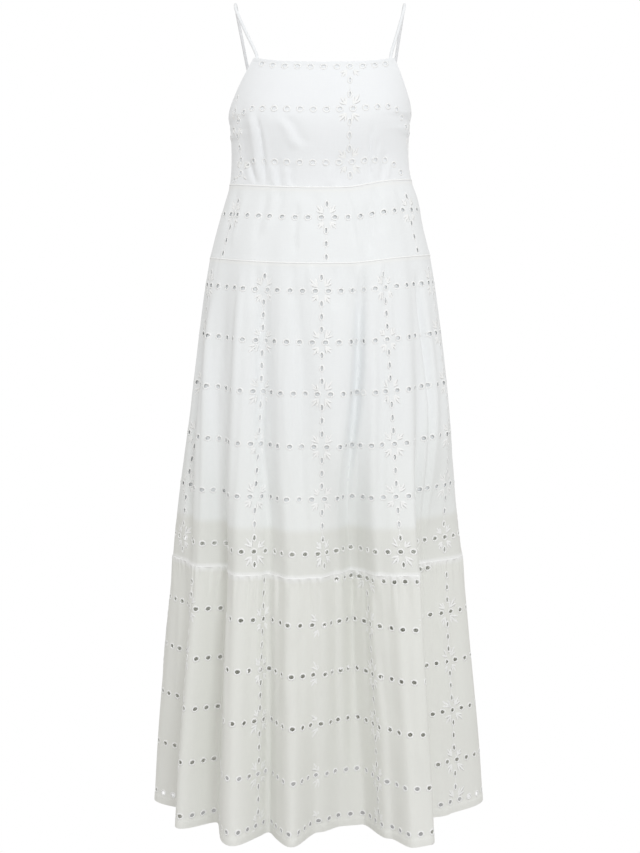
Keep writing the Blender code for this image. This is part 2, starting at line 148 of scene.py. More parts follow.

# %% [markdown]
# Between the large folds lie small creases: the darts, the pull of the cloth across the bust, and soft
# pleats that start at a seam and fade. Each is a line on the cloth with a width and a height, so it is drawn
# as a soft bump along that line. They are uneven on purpose, as real ones are.
# %% The small creases, placed one by one
# start angle and height, end angle and height, half width in mm, how far it stands out in mm
CREASES = np.array((
    # bodice: darts, pull lines and puckers over the waist seam
    (-36.2, -0.302, -41.2, -0.176, 2.4, -2.6), (-42.5, -0.302, -46.8, -0.17, 5.5, 2.8),
    (-32.4, -0.3, -37, -0.196, 3.4, 0.8), (-57, -0.3, -57, -0.15, 8, -1.4),
    (32.2, -0.3, 34, -0.196, 2.2, -1.8), (34.6, -0.3, 36.2, -0.205, 3, 1.1),
    (-43.6, -0.297, -51.5, -0.255, 3.2, -2.4), (-47.5, -0.297, -56, -0.262, 3.6, 0.7),
    (-25, -0.186, -14.5, -0.242, 5, 1.7), (-20, -0.184, -8.5, -0.236, 5.5, -1.6),
    (-30.5, -0.299, -31.5, -0.262, 2.6, 1.6), (-26.8, -0.299, -26.2, -0.25, 2.8, -1.8),
    (-22.8, -0.299, -21.4, -0.266, 2.6, 1.6), (-18.8, -0.299, -16.8, -0.258, 2.8, -1.4),
    (37.5, -0.299, 41, -0.232, 3, 1.2), (41.5, -0.299, 46, -0.245, 3, -1.2),
    (46, -0.299, 50, -0.262, 3, 1.1), (26, -0.299, 24.5, -0.262, 2.6, 1), (84, -0.206, 52, -0.186, 5, -1.4),
    (84, -0.224, 56, -0.206, 5, 1.3), (-84, -0.206, -54, -0.184, 5, -1.3),
    (-84, -0.226, -58, -0.21, 5, 1.2), (5, -0.299, 6.5, -0.262, 4, 0.9), (12, -0.299, 10, -0.24, 5, -0.8),
    (154, -0.3, 157, -0.196, 2.2, -1.4), (156.5, -0.3, 159.5, -0.206, 3, 0.9),
    (206, -0.3, 203, -0.196, 2.2, -1.4), (203.5, -0.3, 200.5, -0.21, 3, 0.9),
    (166, -0.299, 170, -0.24, 4, 1.1), (186, -0.299, 182, -0.228, 4.5, -1.1),
    (195, -0.299, 193, -0.255, 3.6, 1), (124, -0.16, 146, -0.214, 5, -1.2),
    (236, -0.16, 216, -0.206, 5, -1.2), (118, -0.299, 114, -0.232, 4, 1.2),
    (240, -0.299, 246, -0.24, 4, 1.2), (100, -0.214, 130, -0.186, 6, 1.2),
    # tier one: pleats that hang from the waist seam, and the crease that shows at the right of the middle
    (19.5, -0.3, 22.5, -0.418, 3, 1.6), (16.5, -0.3, 18.5, -0.4, 4, -1.3),
    (-34, -0.3, -36.5, -0.395, 4, -1.6), (-29, -0.3, -31, -0.38, 4, 1.4),
    (-24, -0.3, -24.5, -0.36, 4, -1.2), (-12, -0.3, -12.5, -0.4, 6, 1.2),
    (-13.8, -0.318, -13, -0.412, 3.2, -2.4), (26.6, -0.32, 27, -0.412, 3.4, -2.6),
    (-4, -0.3, -3, -0.375, 5, -1.2), (33, -0.3, 34.5, -0.385, 4, -1.6), (39, -0.3, 41, -0.4, 5, 1.4),
    (52, -0.3, 56, -0.38, 5, -1.4), (-52, -0.3, -55, -0.405, 5, 1.5), (-62, -0.3, -65, -0.385, 5, -1.5),
    (128, -0.3, 127, -0.395, 5, 1.5), (143, -0.3, 144, -0.375, 5, -1.5), (155, -0.3, 156, -0.4, 5, -1.6),
    (170, -0.3, 171, -0.385, 5, 1.3), (188, -0.3, 187, -0.4, 5, -1.4), (204, -0.3, 205, -0.38, 5, -1.6),
    (222, -0.3, 223, -0.405, 5, 1.5), (240, -0.3, 241, -0.38, 5, -1.4),
    # tier two: pleats under seam one, and long soft creases that follow the folds
    (-10, -0.5, -9, -0.76, 3.5, 2.4), (-6.5, -0.52, -5, -0.77, 5, -1.6), (19.5, -0.419, 19, -0.5, 3, 2),
    (16, -0.419, 15, -0.52, 4, -2), (31, -0.419, 30, -0.5, 3, 1.8), (34, -0.419, 33.5, -0.49, 3, -1.8),
    (-33.5, -0.419, -33, -0.5, 3.5, -1.8), (-29.5, -0.419, -29, -0.48, 3, 1.5),
    (-13.5, -0.419, -13, -0.49, 3.5, -1.5), (-5, -0.419, -5.5, -0.47, 3, 1.4),
    (6.5, -0.419, 7.5, -0.5, 4, -1.4), (11, -0.47, 11.5, -0.64, 6, 1.8), (-52, -0.56, -47, -0.86, 6, 2.2),
    (-32, -0.6, -29, -0.9, 6, -1.8), (38, -0.43, 37, -0.7, 4, -1.8), (56, -0.6, 53, -0.86, 6, 2.2),
    (68, -0.48, 66, -0.76, 7, -2), (74, -0.56, 72, -0.88, 7, 1.8), (-70, -0.48, -68, -0.76, 7, -2),
    (116, -0.43, 117, -0.64, 6, -2), (130, -0.43, 131, -0.56, 5, 1.8), (146, -0.48, 145, -0.74, 6, 2.2),
    (158, -0.43, 158, -0.56, 5, -1.8), (170, -0.54, 171, -0.82, 6, -2.2), (184, -0.43, 184, -0.6, 5, 1.8),
    (199, -0.52, 200, -0.8, 6, 2.2), (213, -0.43, 213, -0.56, 5, -1.8), (227, -0.48, 229, -0.78, 6, -2.2),
    (242, -0.56, 243, -0.86, 7, 2), (256, -0.43, 257, -0.64, 6, -1.8),
    # tier three: long creases that fade before the hem
    (-36.5, -0.95, -33, -1.2, 6, 3), (-25.5, -0.95, -24, -1.26, 5, -2.4),
    (-12, -0.96, -11.5, -1.15, 4, 2.2), (-6, -0.96, -6, -1.18, 4, -2.4), (3.5, -0.96, 4.5, -1.22, 5, 2.6),
    (11.5, -0.96, 11, -1.32, 5, -2.6), (20.5, -0.95, 20, -1.08, 4, 2.6), (27.5, -0.96, 28, -1.2, 5, -2.6),
    (35.5, -1.000, 34.5, -1.28, 5, 2.2), (52, -0.96, 53, -1.2, 6, 3), (67, -0.96, 68, -1.25, 7, 3),
    (76, -0.98, 75, -1.2, 6, -2.4), (-62, -0.96, -60, -1.24, 7, -2.6), (-76, -0.96, -75, -1.18, 7, 2.4),
    (104, -0.96, 105, -1.22, 7, -2.6), (116, -0.96, 115, -1.18, 6, 2.6), (129, -0.96, 129, -1.24, 6, -2.6),
    (143, -0.96, 142, -1.16, 6, 2.6), (157, -0.96, 158, -1.25, 6, -2.6), (171, -0.96, 171, -1.18, 6, 2.6),
    (185, -0.96, 186, -1.22, 6, -2.6), (199, -0.96, 199, -1.16, 6, 2.6), (214, -0.96, 215, -1.24, 6, -2.6),
    (227, -0.96, 229, -1.18, 6, 2.6), (243, -0.96, 244, -1.23, 7, -2.6), (257, -0.96, 258, -1.18, 7, 2.6),
))
CREASE_FADE = 0.28
CREASES_WORKED_UP = 1.5
print("small creases:", len(CREASES))

# %% [markdown]
# Worn cotton is never quite flat: it has faint upright ripples everywhere. They are too many to place by
# hand, so a fixed seed scatters them over the skirt, in the same form as the creases above.
# %% Faint ripples
RIPPLES = 190
scatter = np.random.default_rng(5)
ripple_from = scatter.uniform(-1.24, -0.33, RIPPLES)
ripple_angle = -90 + 360 * (np.arange(RIPPLES) * 0.618 % 1.0)
ripples = np.stack([ripple_angle, ripple_from, ripple_angle + scatter.uniform(-2.5, 2.5, RIPPLES),
                    np.maximum(ripple_from - scatter.uniform(0.06, 0.20, RIPPLES), HEM),
                    scatter.uniform(2.6, 5.5, RIPPLES),
                    scatter.uniform(0.35, 0.90, RIPPLES) * scatter.choice((-1, 1), RIPPLES)], 1)
CREASES = np.concatenate([CREASES, ripples])

# %% [markdown]
# Some creases run on from seam to seam. They are narrow and have crisp edges, like a soft pleat, and they
# are the darkest lines of the skirt. Each has its own path, and gets deeper and shallower along it.
# %% The long creases, placed one by one
# half width in mm; then places down the skirt: angle, height, how far it stands out in mm
LONG_CREASES = (
    (7, (-28, -0.425, 0), (-27.6, -0.5, -7), (-27.4, -0.56, -8), (-26.4, -0.64, -9), (-25.4, -0.7, -9),
     (-22.4, -0.766, -9), (-19.6, -0.826, -9), (-18.8, -0.89, -8), (-19.4, -0.945, -9),
     (-18.4, -1.048, -11), (-17.4, -1.19, -12), (-16.9, -1.4, -9)),
    (6.2, (21.6, -0.428, 0), (19.4, -0.48, -12), (17.6, -0.557, -17), (15.4, -0.636, -18),
     (13.2, -0.7, -17), (11.2, -0.769, -14), (10.8, -0.834, -11), (11.2, -0.9, -7), (11.6, -0.99, 0)),
    (6, (58, -0.44, 0), (58, -0.5, -9), (58.6, -0.567, -11), (58.4, -0.65, -9), (57.5, -0.72, -6),
     (58.5, -0.84, -7), (59.5, -0.94, -5), (58, -1.072, 0)),
    (10, (-55, -0.46, 0), (-51.5, -0.646, -3), (-50.4, -0.76, -4), (-51, -0.864, -4), (-51, -0.963, -4),
     (-49, -1.064, -5), (-46.7, -1.232, -5), (-45.6, -1.4, -3)),
    (5.6, (-42, -0.43, 0), (-41.4, -0.5, 4.5), (-40.7, -0.585, 5.5), (-40, -0.67, 6), (-38.9, -0.75, 6),
     (-38.2, -0.824, 5.5), (-37.8, -0.93, 5.5), (-36.6, -1.000, 6.5), (-35.4, -1.1, 6), (-33.4, -1.207, 5),
     (-32.6, -1.4, 2)),
    (6, (-65, -0.46, 0), (-63.8, -0.535, 3.5), (-61.5, -0.592, 4.5), (-58, -0.676, 5.5),
     (-55.7, -0.758, 5.5), (-54.5, -0.833, 4.5), (-54, -0.91, 0)),
    (13, (-78, -0.47, 0), (-77, -0.537, -5), (-75, -0.594, -9), (-72.5, -0.679, -12), (-70, -0.762, -14),
     (-68.5, -0.838, -13), (-67, -0.935, 0)),
    (5.5, (-20.5, -0.5, 0), (-19.6, -0.62, 3), (-18.6, -0.688, 3.5), (-15.8, -0.765, 4), (-13, -0.825, 4),
     (-11.4, -0.945, 4), (-10.9, -1.03, 4), (-11.2, -1.12, 4), (-11, -1.2, 3), (-10.8, -1.3, 0)),
    (16, (7.5, -0.66, 0), (7.8, -0.723, 4), (8, -0.8, 7), (7.5, -0.88, 8), (7, -0.955, 9),
     (6.8, -1.042, 9), (7.2, -1.13, 7), (7, -1.225, 4), (7, -1.32, 0)),
    (6.5, (18, -0.62, 0), (16.8, -0.725, 5), (16.4, -0.82, 7), (16.4, -0.9, 8), (16.2, -0.954, 11),
     (16.2, -1.004, 13), (16.3, -1.045, 13), (16.4, -1.12, 10), (16.6, -1.185, 7), (17, -1.3, 0)),
    (6, (-11.2, -0.45, 0), (-10.8, -0.5, -4), (-9, -0.603, -5), (-9, -0.686, -5), (-7, -0.764, -4),
     (-5, -0.83, -3), (-4, -0.905, 0)),
    (6, (28, -0.47, 0), (27.6, -0.607, -4), (26.6, -0.689, -5), (26.5, -0.767, -5), (27.4, -0.88, 0)),
    (4.5, (23.2, -0.935, 0), (23, -0.965, -6), (23.2, -1.03, -5), (23.8, -1.11, -4), (24, -1.17, 0)),
    (8, (104.6, -0.5, 0), (104, -0.69, -4), (105, -0.88, 0)),
    (7, (124.5, -0.47, 0), (124, -0.64, -3), (122.6, -0.82, -5), (122, -0.925, -5), (121.4, -1.15, -8),
     (121, -1.4, -5)),
    (7, (151, -0.43, 0), (150.4, -0.56, -5), (150, -0.7, -8), (150.6, -0.84, -8), (151, -0.925, -8),
     (150.5, -1.1, -9), (150, -1.4, -6)),
    (6, (164, -0.96, 0), (163.6, -1.1, 3.5), (163, -1.28, 0)),
    (6.5, (178, -0.45, 0), (177.4, -0.6, -3), (177, -0.72, -6), (178, -0.86, -7), (178, -0.925, -6),
     (178.6, -1.1, -8), (179, -1.3, 0)),
    (6, (192, -0.5, 0), (191.4, -0.66, 3), (191, -0.8, 3), (191.6, -0.905, 0)),
    (7.5, (206, -0.43, 0), (205.4, -0.57, -5), (205, -0.72, -9), (205.6, -0.85, -8), (206, -0.925, -7),
     (207, -1.12, -9), (208, -1.4, -6)),
    (8, (234.2, -0.47, 0), (234, -0.62, -4), (235, -0.8, -6), (236, -0.925, -5), (236.6, -1.1, -7),
     (237, -1.3, 0)),
    (8, (258, -0.52, 0), (257, -0.7, -4), (258, -0.87, 0)),
)
print("long creases:", len(LONG_CREASES))

# %% [markdown]
# Tier three is wider than the seam it hangs from, so its top edge is gathered: hundreds of tiny pleats, each
# a little different. A fixed seed gives each gather its own place, depth and length, so the cloth comes out
# the same every time.
# %% The gathers under seam two
GATHERS = 104
GATHER_DEEPEST = 0.0030
rng = np.random.default_rng(11)
GATHER_ANGLES = -90 + 360 * (np.arange(GATHERS) + 0.5 + rng.uniform(-0.28, 0.28, GATHERS)) / GATHERS
GATHER_DEPTHS = GATHER_DEEPEST * rng.uniform(0.45, 1.0, GATHERS)
GATHER_LENGTHS = rng.choice((0.018, 0.026, 0.040, 0.062, 0.090), GATHERS)

# %% [markdown]
# Now the form. Each helper takes whole arrays of angles and heights, because a piece has thousands of
# points. `drape` is the one function that says where the cloth is: the general figure, and on top of it the
# folds, the creases, the gathers and the bust.
# %% Helpers for smooth values
def smooth_through(knots, values, at):
    """Smooth curves through rows of values at knots that run downwards; level beyond both ends."""
    at = np.clip(at, knots[-1], knots[0])
    i = np.clip(np.searchsorted(-knots, -at) - 1, 0, len(knots) - 2)
    last = len(knots) - 1

    def slope(k):
        low, high = np.maximum(k - 1, 0), np.minimum(k + 1, last)
        return (values[high] - values[low]) / (knots[high] - knots[low])[:, None]

    span = (knots[i + 1] - knots[i])[:, None]
    t = (at - knots[i])[:, None] / span
    start = values[i] * (1 + 2 * t) * (1 - t) ** 2 + slope(i) * span * t * (1 - t) ** 2
    return start + values[i + 1] * t * t * (3 - 2 * t) - slope(i + 1) * span * t * t * (1 - t)


def ease(t):
    t = np.clip(t, 0, 1)
    return t * t * (3 - 2 * t)


def turn(angle):
    """The same angle between -90 degrees, the left side seam, and 270."""
    return (angle + 90.0) % 360.0 - 90.0


def top_edge(angle):
    from_front = np.abs((np.asarray(angle, float) + 180.0) % 360.0 - 180.0)
    return np.interp(from_front, TOP_EDGE[:, 0], TOP_EDGE[:, 1])


def level(height):
    """An edge at one height all round."""
    return lambda angle: np.full(np.shape(angle), height)


# %% What stands out from the figure
def fold_depth(angle, height):
    angles = smooth_through(FOLD_HEIGHTS, FOLD_ANGLES, height)
    depths = smooth_through(FOLD_HEIGHTS, FOLD_DEPTHS, height)
    rows = np.arange(len(angle))
    i = np.clip((angles[:, 1:] < angle[:, None]).sum(1), 0, angles.shape[1] - 2)
    t = (angle - angles[rows, i]) / (angles[rows, i + 1] - angles[rows, i])
    return depths[rows, i] + (depths[rows, i + 1] - depths[rows, i]) * ease(t)


def crease_depth(angle, height, radius):
    found = np.zeros(len(angle))
    for angle_from, from_height, angle_to, to_height, half_width, stands_out in CREASES:
        near = np.flatnonzero((height - from_height) * (height - to_height) < 0)
        if not len(near):
            continue
        along = (height[near] - from_height) / (to_height - from_height)
        middle = angle_from + (angle_to - angle_from) * along
        away = np.radians((angle[near] - middle + 180) % 360 - 180) * radius[near] / (half_width / 1000)
        # a slanting crease is as wide as an upright one, measured square to its line
        slant = math.radians(angle_to - angle_from) * 0.18 / abs(to_height - from_height)
        away = away / math.hypot(1.0, slant)
        ends = ease(along / CREASE_FADE) * ease((1 - along) / CREASE_FADE)
        depth = CREASES_WORKED_UP * stands_out / 1000
        found[near] += depth * np.exp(-0.5 * np.minimum(away ** 2, 60)) * ends
    for half_width, *places in LONG_CREASES:
        places = np.array(places)
        near = np.flatnonzero((height < places[0, 1]) & (height > places[-1, 1]))
        if len(near):
            middle, stands_out = smooth_through(places[:, 1], places[:, [0, 2]], height[near]).T
            away = np.radians((angle[near] - middle + 180) % 360 - 180) * radius[near] / (half_width / 1000)
            found[near] += stands_out / 1000 * np.exp(-0.5 * np.minimum(np.abs(away) ** 3, 60))
    return found


def seam_depth(height):
    """Each tier's upper edge stands a little proud, because its seam allowance is folded behind it."""
    found = np.zeros(len(height))
    for seam, proud in ((WAIST, 0.0007), (SEAM_ONE, 0.0007), (SEAM_TWO, 0.0014)):
        below = seam - height
        found += np.where(below > 0, proud * (1 - ease(below / 0.007)), 0.0)
    return found


def gather_depth(angle, height):
    below = SEAM_TWO - height
    found = np.zeros(len(angle))
    near = (below >= -1e-9) & (below < GATHER_LENGTHS.max())
    if near.any():
        i = np.abs(angle[near][:, None] - GATHER_ANGLES[None, :]).argmin(1)
        gap = 180 / GATHERS
        across = np.cos(np.clip((angle[near] - GATHER_ANGLES[i]) / gap, -1, 1) * math.pi / 2) ** 2
        start = ease(0.35 + below[near] / 0.012)
        fade = 1 - ease(below[near] / GATHER_LENGTHS[i])
        found[near] = GATHER_DEPTHS[i] * (across - 0.5) * 2 * start * fade
    return found


def bust_depth(angle, height):
    rise = ((height + 0.190) / 0.040) ** 2
    return 0.007 * sum(np.exp(-0.5 * (rise + ((angle - side * 34.0) / 17.0) ** 2)) for side in (-1, 1))


# %% The drape
def drape(angle, height):
    """The points at the middle of the cloth's thickness."""
    angle, height = np.broadcast_arrays(turn(np.asarray(angle, float)), np.asarray(height, float))
    half_width, front, back, shift = smooth_through(FIGURE[:, 0], FIGURE[:, 1:], height).T
    front_dip, right_lift = smooth_through(SAGS[:, 0], SAGS[:, 1:], height).T
    sine, cosine = np.sin(np.radians(angle)), np.cos(np.radians(angle))
    depth = np.where(cosine > 0, front, back)
    lifted = height - front_dip * np.maximum(cosine, 0) ** 2 + right_lift * ease((sine - 0.25) / 0.5)
    away = np.stack([sine ** 3, -cosine], 1)
    away /= np.linalg.norm(away, axis=1)[:, None]
    push = fold_depth(angle, height) + gather_depth(angle, height) + bust_depth(angle, height)
    push = push + crease_depth(angle, height, (half_width + depth) / 2) + seam_depth(height)
    return np.stack([half_width * sine + shift + away[:, 0] * push,
                     -depth * cosine + away[:, 1] * push, lifted], 1)


def slopes(angle, height, step=0.001):
    """How the cloth runs for a radian of angle and for a metre of height, and the way that it faces."""
    turned = math.degrees(step)
    across = (drape(angle + turned, height) - drape(angle - turned, height)) / (2 * step)
    upwards = (drape(angle, height + step) - drape(angle, height - step)) / (2 * step)
    facing = np.cross(across, upwards)
    return across, upwards, facing / np.linalg.norm(facing, axis=1)[:, None]


middle_front = drape(np.array([0.0]), np.array([WAIST]))[0]
print("centre front of the waist:", middle_front.round(3))

# %% [markdown]
# A piece of cloth is cut flat. Its cutting plan has the run along the cloth as width and the height as
# height, so the triangles and the eyelets keep their true shape. The run is measured along the drape, folds
# and all, half way down the piece.
# %% The cutting plan
def cutting_plan(seams, upper, lower):
    """Angles across the piece and how far along the cloth each one is, half way down."""
    angles = np.linspace(*seams, int(seams[1] - seams[0]) * 4 + 1)
    points = drape(angles, (upper(angles) + lower(angles)) / 2)
    steps = np.linalg.norm(np.diff(points, axis=0), axis=1)
    return angles, np.concatenate([[0.0], np.cumsum(steps)])


def run_of(angles, heights):
    """The length of a line on the cloth."""
    return float(np.linalg.norm(np.diff(drape(angles, heights), axis=0), axis=1).sum())


# %% [markdown]
# The embroidery is laid out on a grid, as on the real cloth: rows of eyelets round the dress, columns of
# eyelets down it, and where they cross, fans of thin leaves. Rows are 21 mm apart from eyelet to eyelet. A
# column has an eyelet on each row and three between, and a row's eyelet takes the place of a column's.
# %% Where the eyelets are
ROW_PITCH = 0.0212
COLUMN_PITCH = 0.0212
ROW_EYELET = (0.0082, 0.0068)
COLUMN_EYELET = (0.0043, 0.0088)
EYELET_SIDES = 10
CLEAR_OF_SEAM = 0.0075
CLEAR_OF_ROW = 0.0105


def row_two(angle):
    return -0.1755 - 0.046 * ease((np.abs(angle) - 46) / 36)


def row_three(angle):
    return -0.2585 - 0.006 * ease((angle - 20) / 30) - 0.032 * ease((np.abs(angle) - 46) / 26)


def neck_row(angle):
    return top_edge(angle) - 0.0078


def sloping(left_height, right_height):
    """A row that lies a little lower on the right of the front, and evens out round the back."""
    def height_at(angle):
        turned = np.asarray(angle, float)
        front = left_height + (right_height - left_height) * ease((turned + 50) / 110)
        return front + (left_height - right_height) * ease((turned - 120) / 110)
    return height_at


def spread_row(height_at, left, right):
    """Centres of one row's eyelets, a pitch apart along the cloth."""
    angles = np.linspace(left, right, int(right - left) * 2 + 1)
    steps = np.linalg.norm(np.diff(drape(angles, height_at(angles)), axis=0), axis=1)
    run = np.concatenate([[0.0], np.cumsum(steps)])
    count = max(1, round(run[-1] / ROW_PITCH))
    found = np.interp(run[-1] * (np.arange(count) + 0.5) / count, run, angles)
    return np.stack([found, height_at(found)], 1)


def spread_column(angle_at, top, bottom, crossings):
    """Centres of one column's eyelets: three between each two rows, and on at the same pitch past them."""
    marks = sorted(crossings, reverse=True)
    heights = []
    for high, low in zip(marks, marks[1:]):
        steps = max(1, round((high - low) / COLUMN_PITCH))
        heights += [high - (high - low) * i / steps for i in range(steps)]
    heights.append(marks[-1])
    above, below = marks[0] + COLUMN_PITCH, marks[-1] - COLUMN_PITCH
    while above < top - CLEAR_OF_SEAM:
        heights.append(above)
        above += COLUMN_PITCH
    while below > bottom + CLEAR_OF_SEAM:
        heights.append(below)
        below -= COLUMN_PITCH
    heights = np.array(heights)
    return np.stack([angle_at(heights), heights], 1)


def leaning(*places):
    """A column's angle at each height, from places of angle and height that run downwards."""
    table = np.array(places)[::-1]
    return lambda height: np.interp(height, table[:, 1], table[:, 0])


def straight(top, bottom, *pairs):
    """Columns that run straight, each from its angle at the top to its angle at the bottom."""
    return tuple(leaning((above, top), (below, bottom)) for above, below in pairs)


# %% The rows and columns of each tier
TIER_ONE_ROWS = (level(-0.346),)
TIER_TWO_ROWS = tuple(level(h) for h in (-0.463, -0.5440, -0.6255, -0.7100, -0.7960, -0.886))
TIER_THREE_ROWS = (sloping(-0.9950, -1.0140), sloping(-1.0770, -1.0975), sloping(-1.1600, -1.1810),
                   sloping(-1.2480, -1.2670), level(-1.336))
BODICE_COLUMNS = {
    "front": (leaning((17.8, -0.10), (18.8, -0.28)), leaning((-69.9, -0.12), (-60.3, -0.28)),
              leaning((80, -0.18), (82, -0.28))),
    "back": straight(-0.15, -0.28, (136, 137), (205, 204)) + straight(-0.19, -0.28, (262, 262)),
}
TIER_ONE_COLUMNS = {
    "front": straight(-0.30, -0.42, (-58, -62), (3.3, 3.2), (61, 62)),
    "back": straight(-0.30, -0.42, (121, 121), (181, 181), (240, 240)),
}
TIER_TWO_COLUMNS = {
    "front": (leaning((-72, -0.42), (-76, -0.92)), leaning((-28.5, -0.42), (-27.1, -0.66), (-24.6, -0.92)),
              leaning((0.7, -0.42), (0.8, -0.66), (2.6, -0.92)),
              leaning((32.8, -0.42), (31.9, -0.64), (34, -0.92)),
              leaning((73, -0.42), (74.2, -0.83), (73.9, -0.92))),
    "back": straight(-0.42, -0.92, (104, 105), (133, 132), (161, 162), (189, 189), (217, 218), (247, 248)),
}
TIER_THREE_COLUMNS = {
    "front": (*straight(-0.92, -1.35, (-60, -56), (-20.9, -20.7), (1.4, 0.9)),
              leaning((19.2, -0.92), (20.5, -1.09), (20.8, -1.35)),
              *straight(-0.92, -1.35, (46, 45), (74.6, 68))),
    "back": straight(-0.92, -1.35, (100, 101), (120, 120), (140, 141), (158, 159), (177, 178), (196, 197),
                     (215, 216), (236, 236), (256, 257)),
}


def lay_out(rows, columns, top, bottom, hidden=None):
    """Every eyelet of a piece, as angle, height, and the oval's length and height; the crossings, as angle,
    height and the side without leaves; and the columns. A hidden column lies in a fold, with its left leaves out."""
    eyelets, crossings, kept_columns = [], [], []
    for height_at, left, right in rows:
        eyelets += [(a, h, *ROW_EYELET) for a, h in spread_row(height_at, left, right)]
    in_rows = np.array([eyelet[:2] for eyelet in eyelets])
    row_points = drape(in_rows[:, 0], in_rows[:, 1])
    for angle_at in columns:
        marks = []
        for height_at, left, right in rows:
            height = float(height_at(np.array([left + right]) / 2)[0])
            for _ in range(4):
                height = float(height_at(angle_at(np.array([height])))[0])
            angle = float(angle_at(np.array([height]))[0])
            if left - 2 < angle < right + 2:
                marks.append(height)
                crossings.append((angle, height, 1 if angle_at is hidden else 0))
        if angle_at is hidden:
            continue
        column = spread_column(angle_at, top, bottom, marks)
        points = drape(column[:, 0], column[:, 1])
        nearest = np.linalg.norm(points[:, None] - row_points[None], axis=2).min(1)
        column = column[nearest > CLEAR_OF_ROW]
        eyelets += [(a, h, *COLUMN_EYELET) for a, h in column]
        kept_columns.append(column)
    return np.array(eyelets), np.array(crossings), kept_columns


# %% [markdown]
# Cutting: the outline, the eyelets and a field of inner points go to Blender's Delaunay triangulation, which
# keeps the outline and leaves the eyelets open. Then every point is laid on the drape. Solidify gives the
# cloth its thickness. A vertex group makes turned edges, such as a hem or a binding, twice as thick, as
# folded cloth is.
# %% Cut, drape and thicken a piece
THICKEST = 0.0024
RING_OUTSIDE = 0.0015
CLEAR_OF_EYELET = 0.0070


def laid_rows(upper, lower, spacing, near_top, near_bottom):
    """Functions of the angle for the heights of the rows of points, from the lower edge to the upper."""
    deepest = float(upper(np.array([0.0]))[0] - lower(np.array([0.0]))[0]) - near_top[-1] - near_bottom[-1]
    steps = max(2, round(deepest / spacing))
    rows = [lambda angle, d=d: lower(angle) + d for d in near_bottom]
    for i in range(1, steps):
        rows.append(lambda angle, f=i / steps: (lower(angle) + near_bottom[-1]) * (1 - f)
                    + (upper(angle) - near_top[-1]) * f)
    return rows + [lambda angle, d=d: upper(angle) - d for d in near_top[::-1]]


def eyelet_rings(eyelets, plan, grow=0.0):
    """The ovals of the eyelets on the cutting plan."""
    angle, height, long, tall = eyelets.T
    across, upwards, _ = slopes(angle, height)
    angles, run = plan
    stretch = np.interp(angle + 0.3, angles, run) - np.interp(angle - 0.3, angles, run)
    stretch = stretch / math.radians(0.6) / np.linalg.norm(across, axis=1)
    turned = 2 * math.pi * np.arange(EYELET_SIDES) / EYELET_SIDES
    x = np.interp(angle, angles, run)[:, None] + np.outer(stretch * (long / 2 + grow), np.cos(turned))
    rise = 1 / np.linalg.norm(upwards, axis=1)
    return x, height[:, None] + np.outer(rise * (tall / 2 + grow), np.sin(turned))


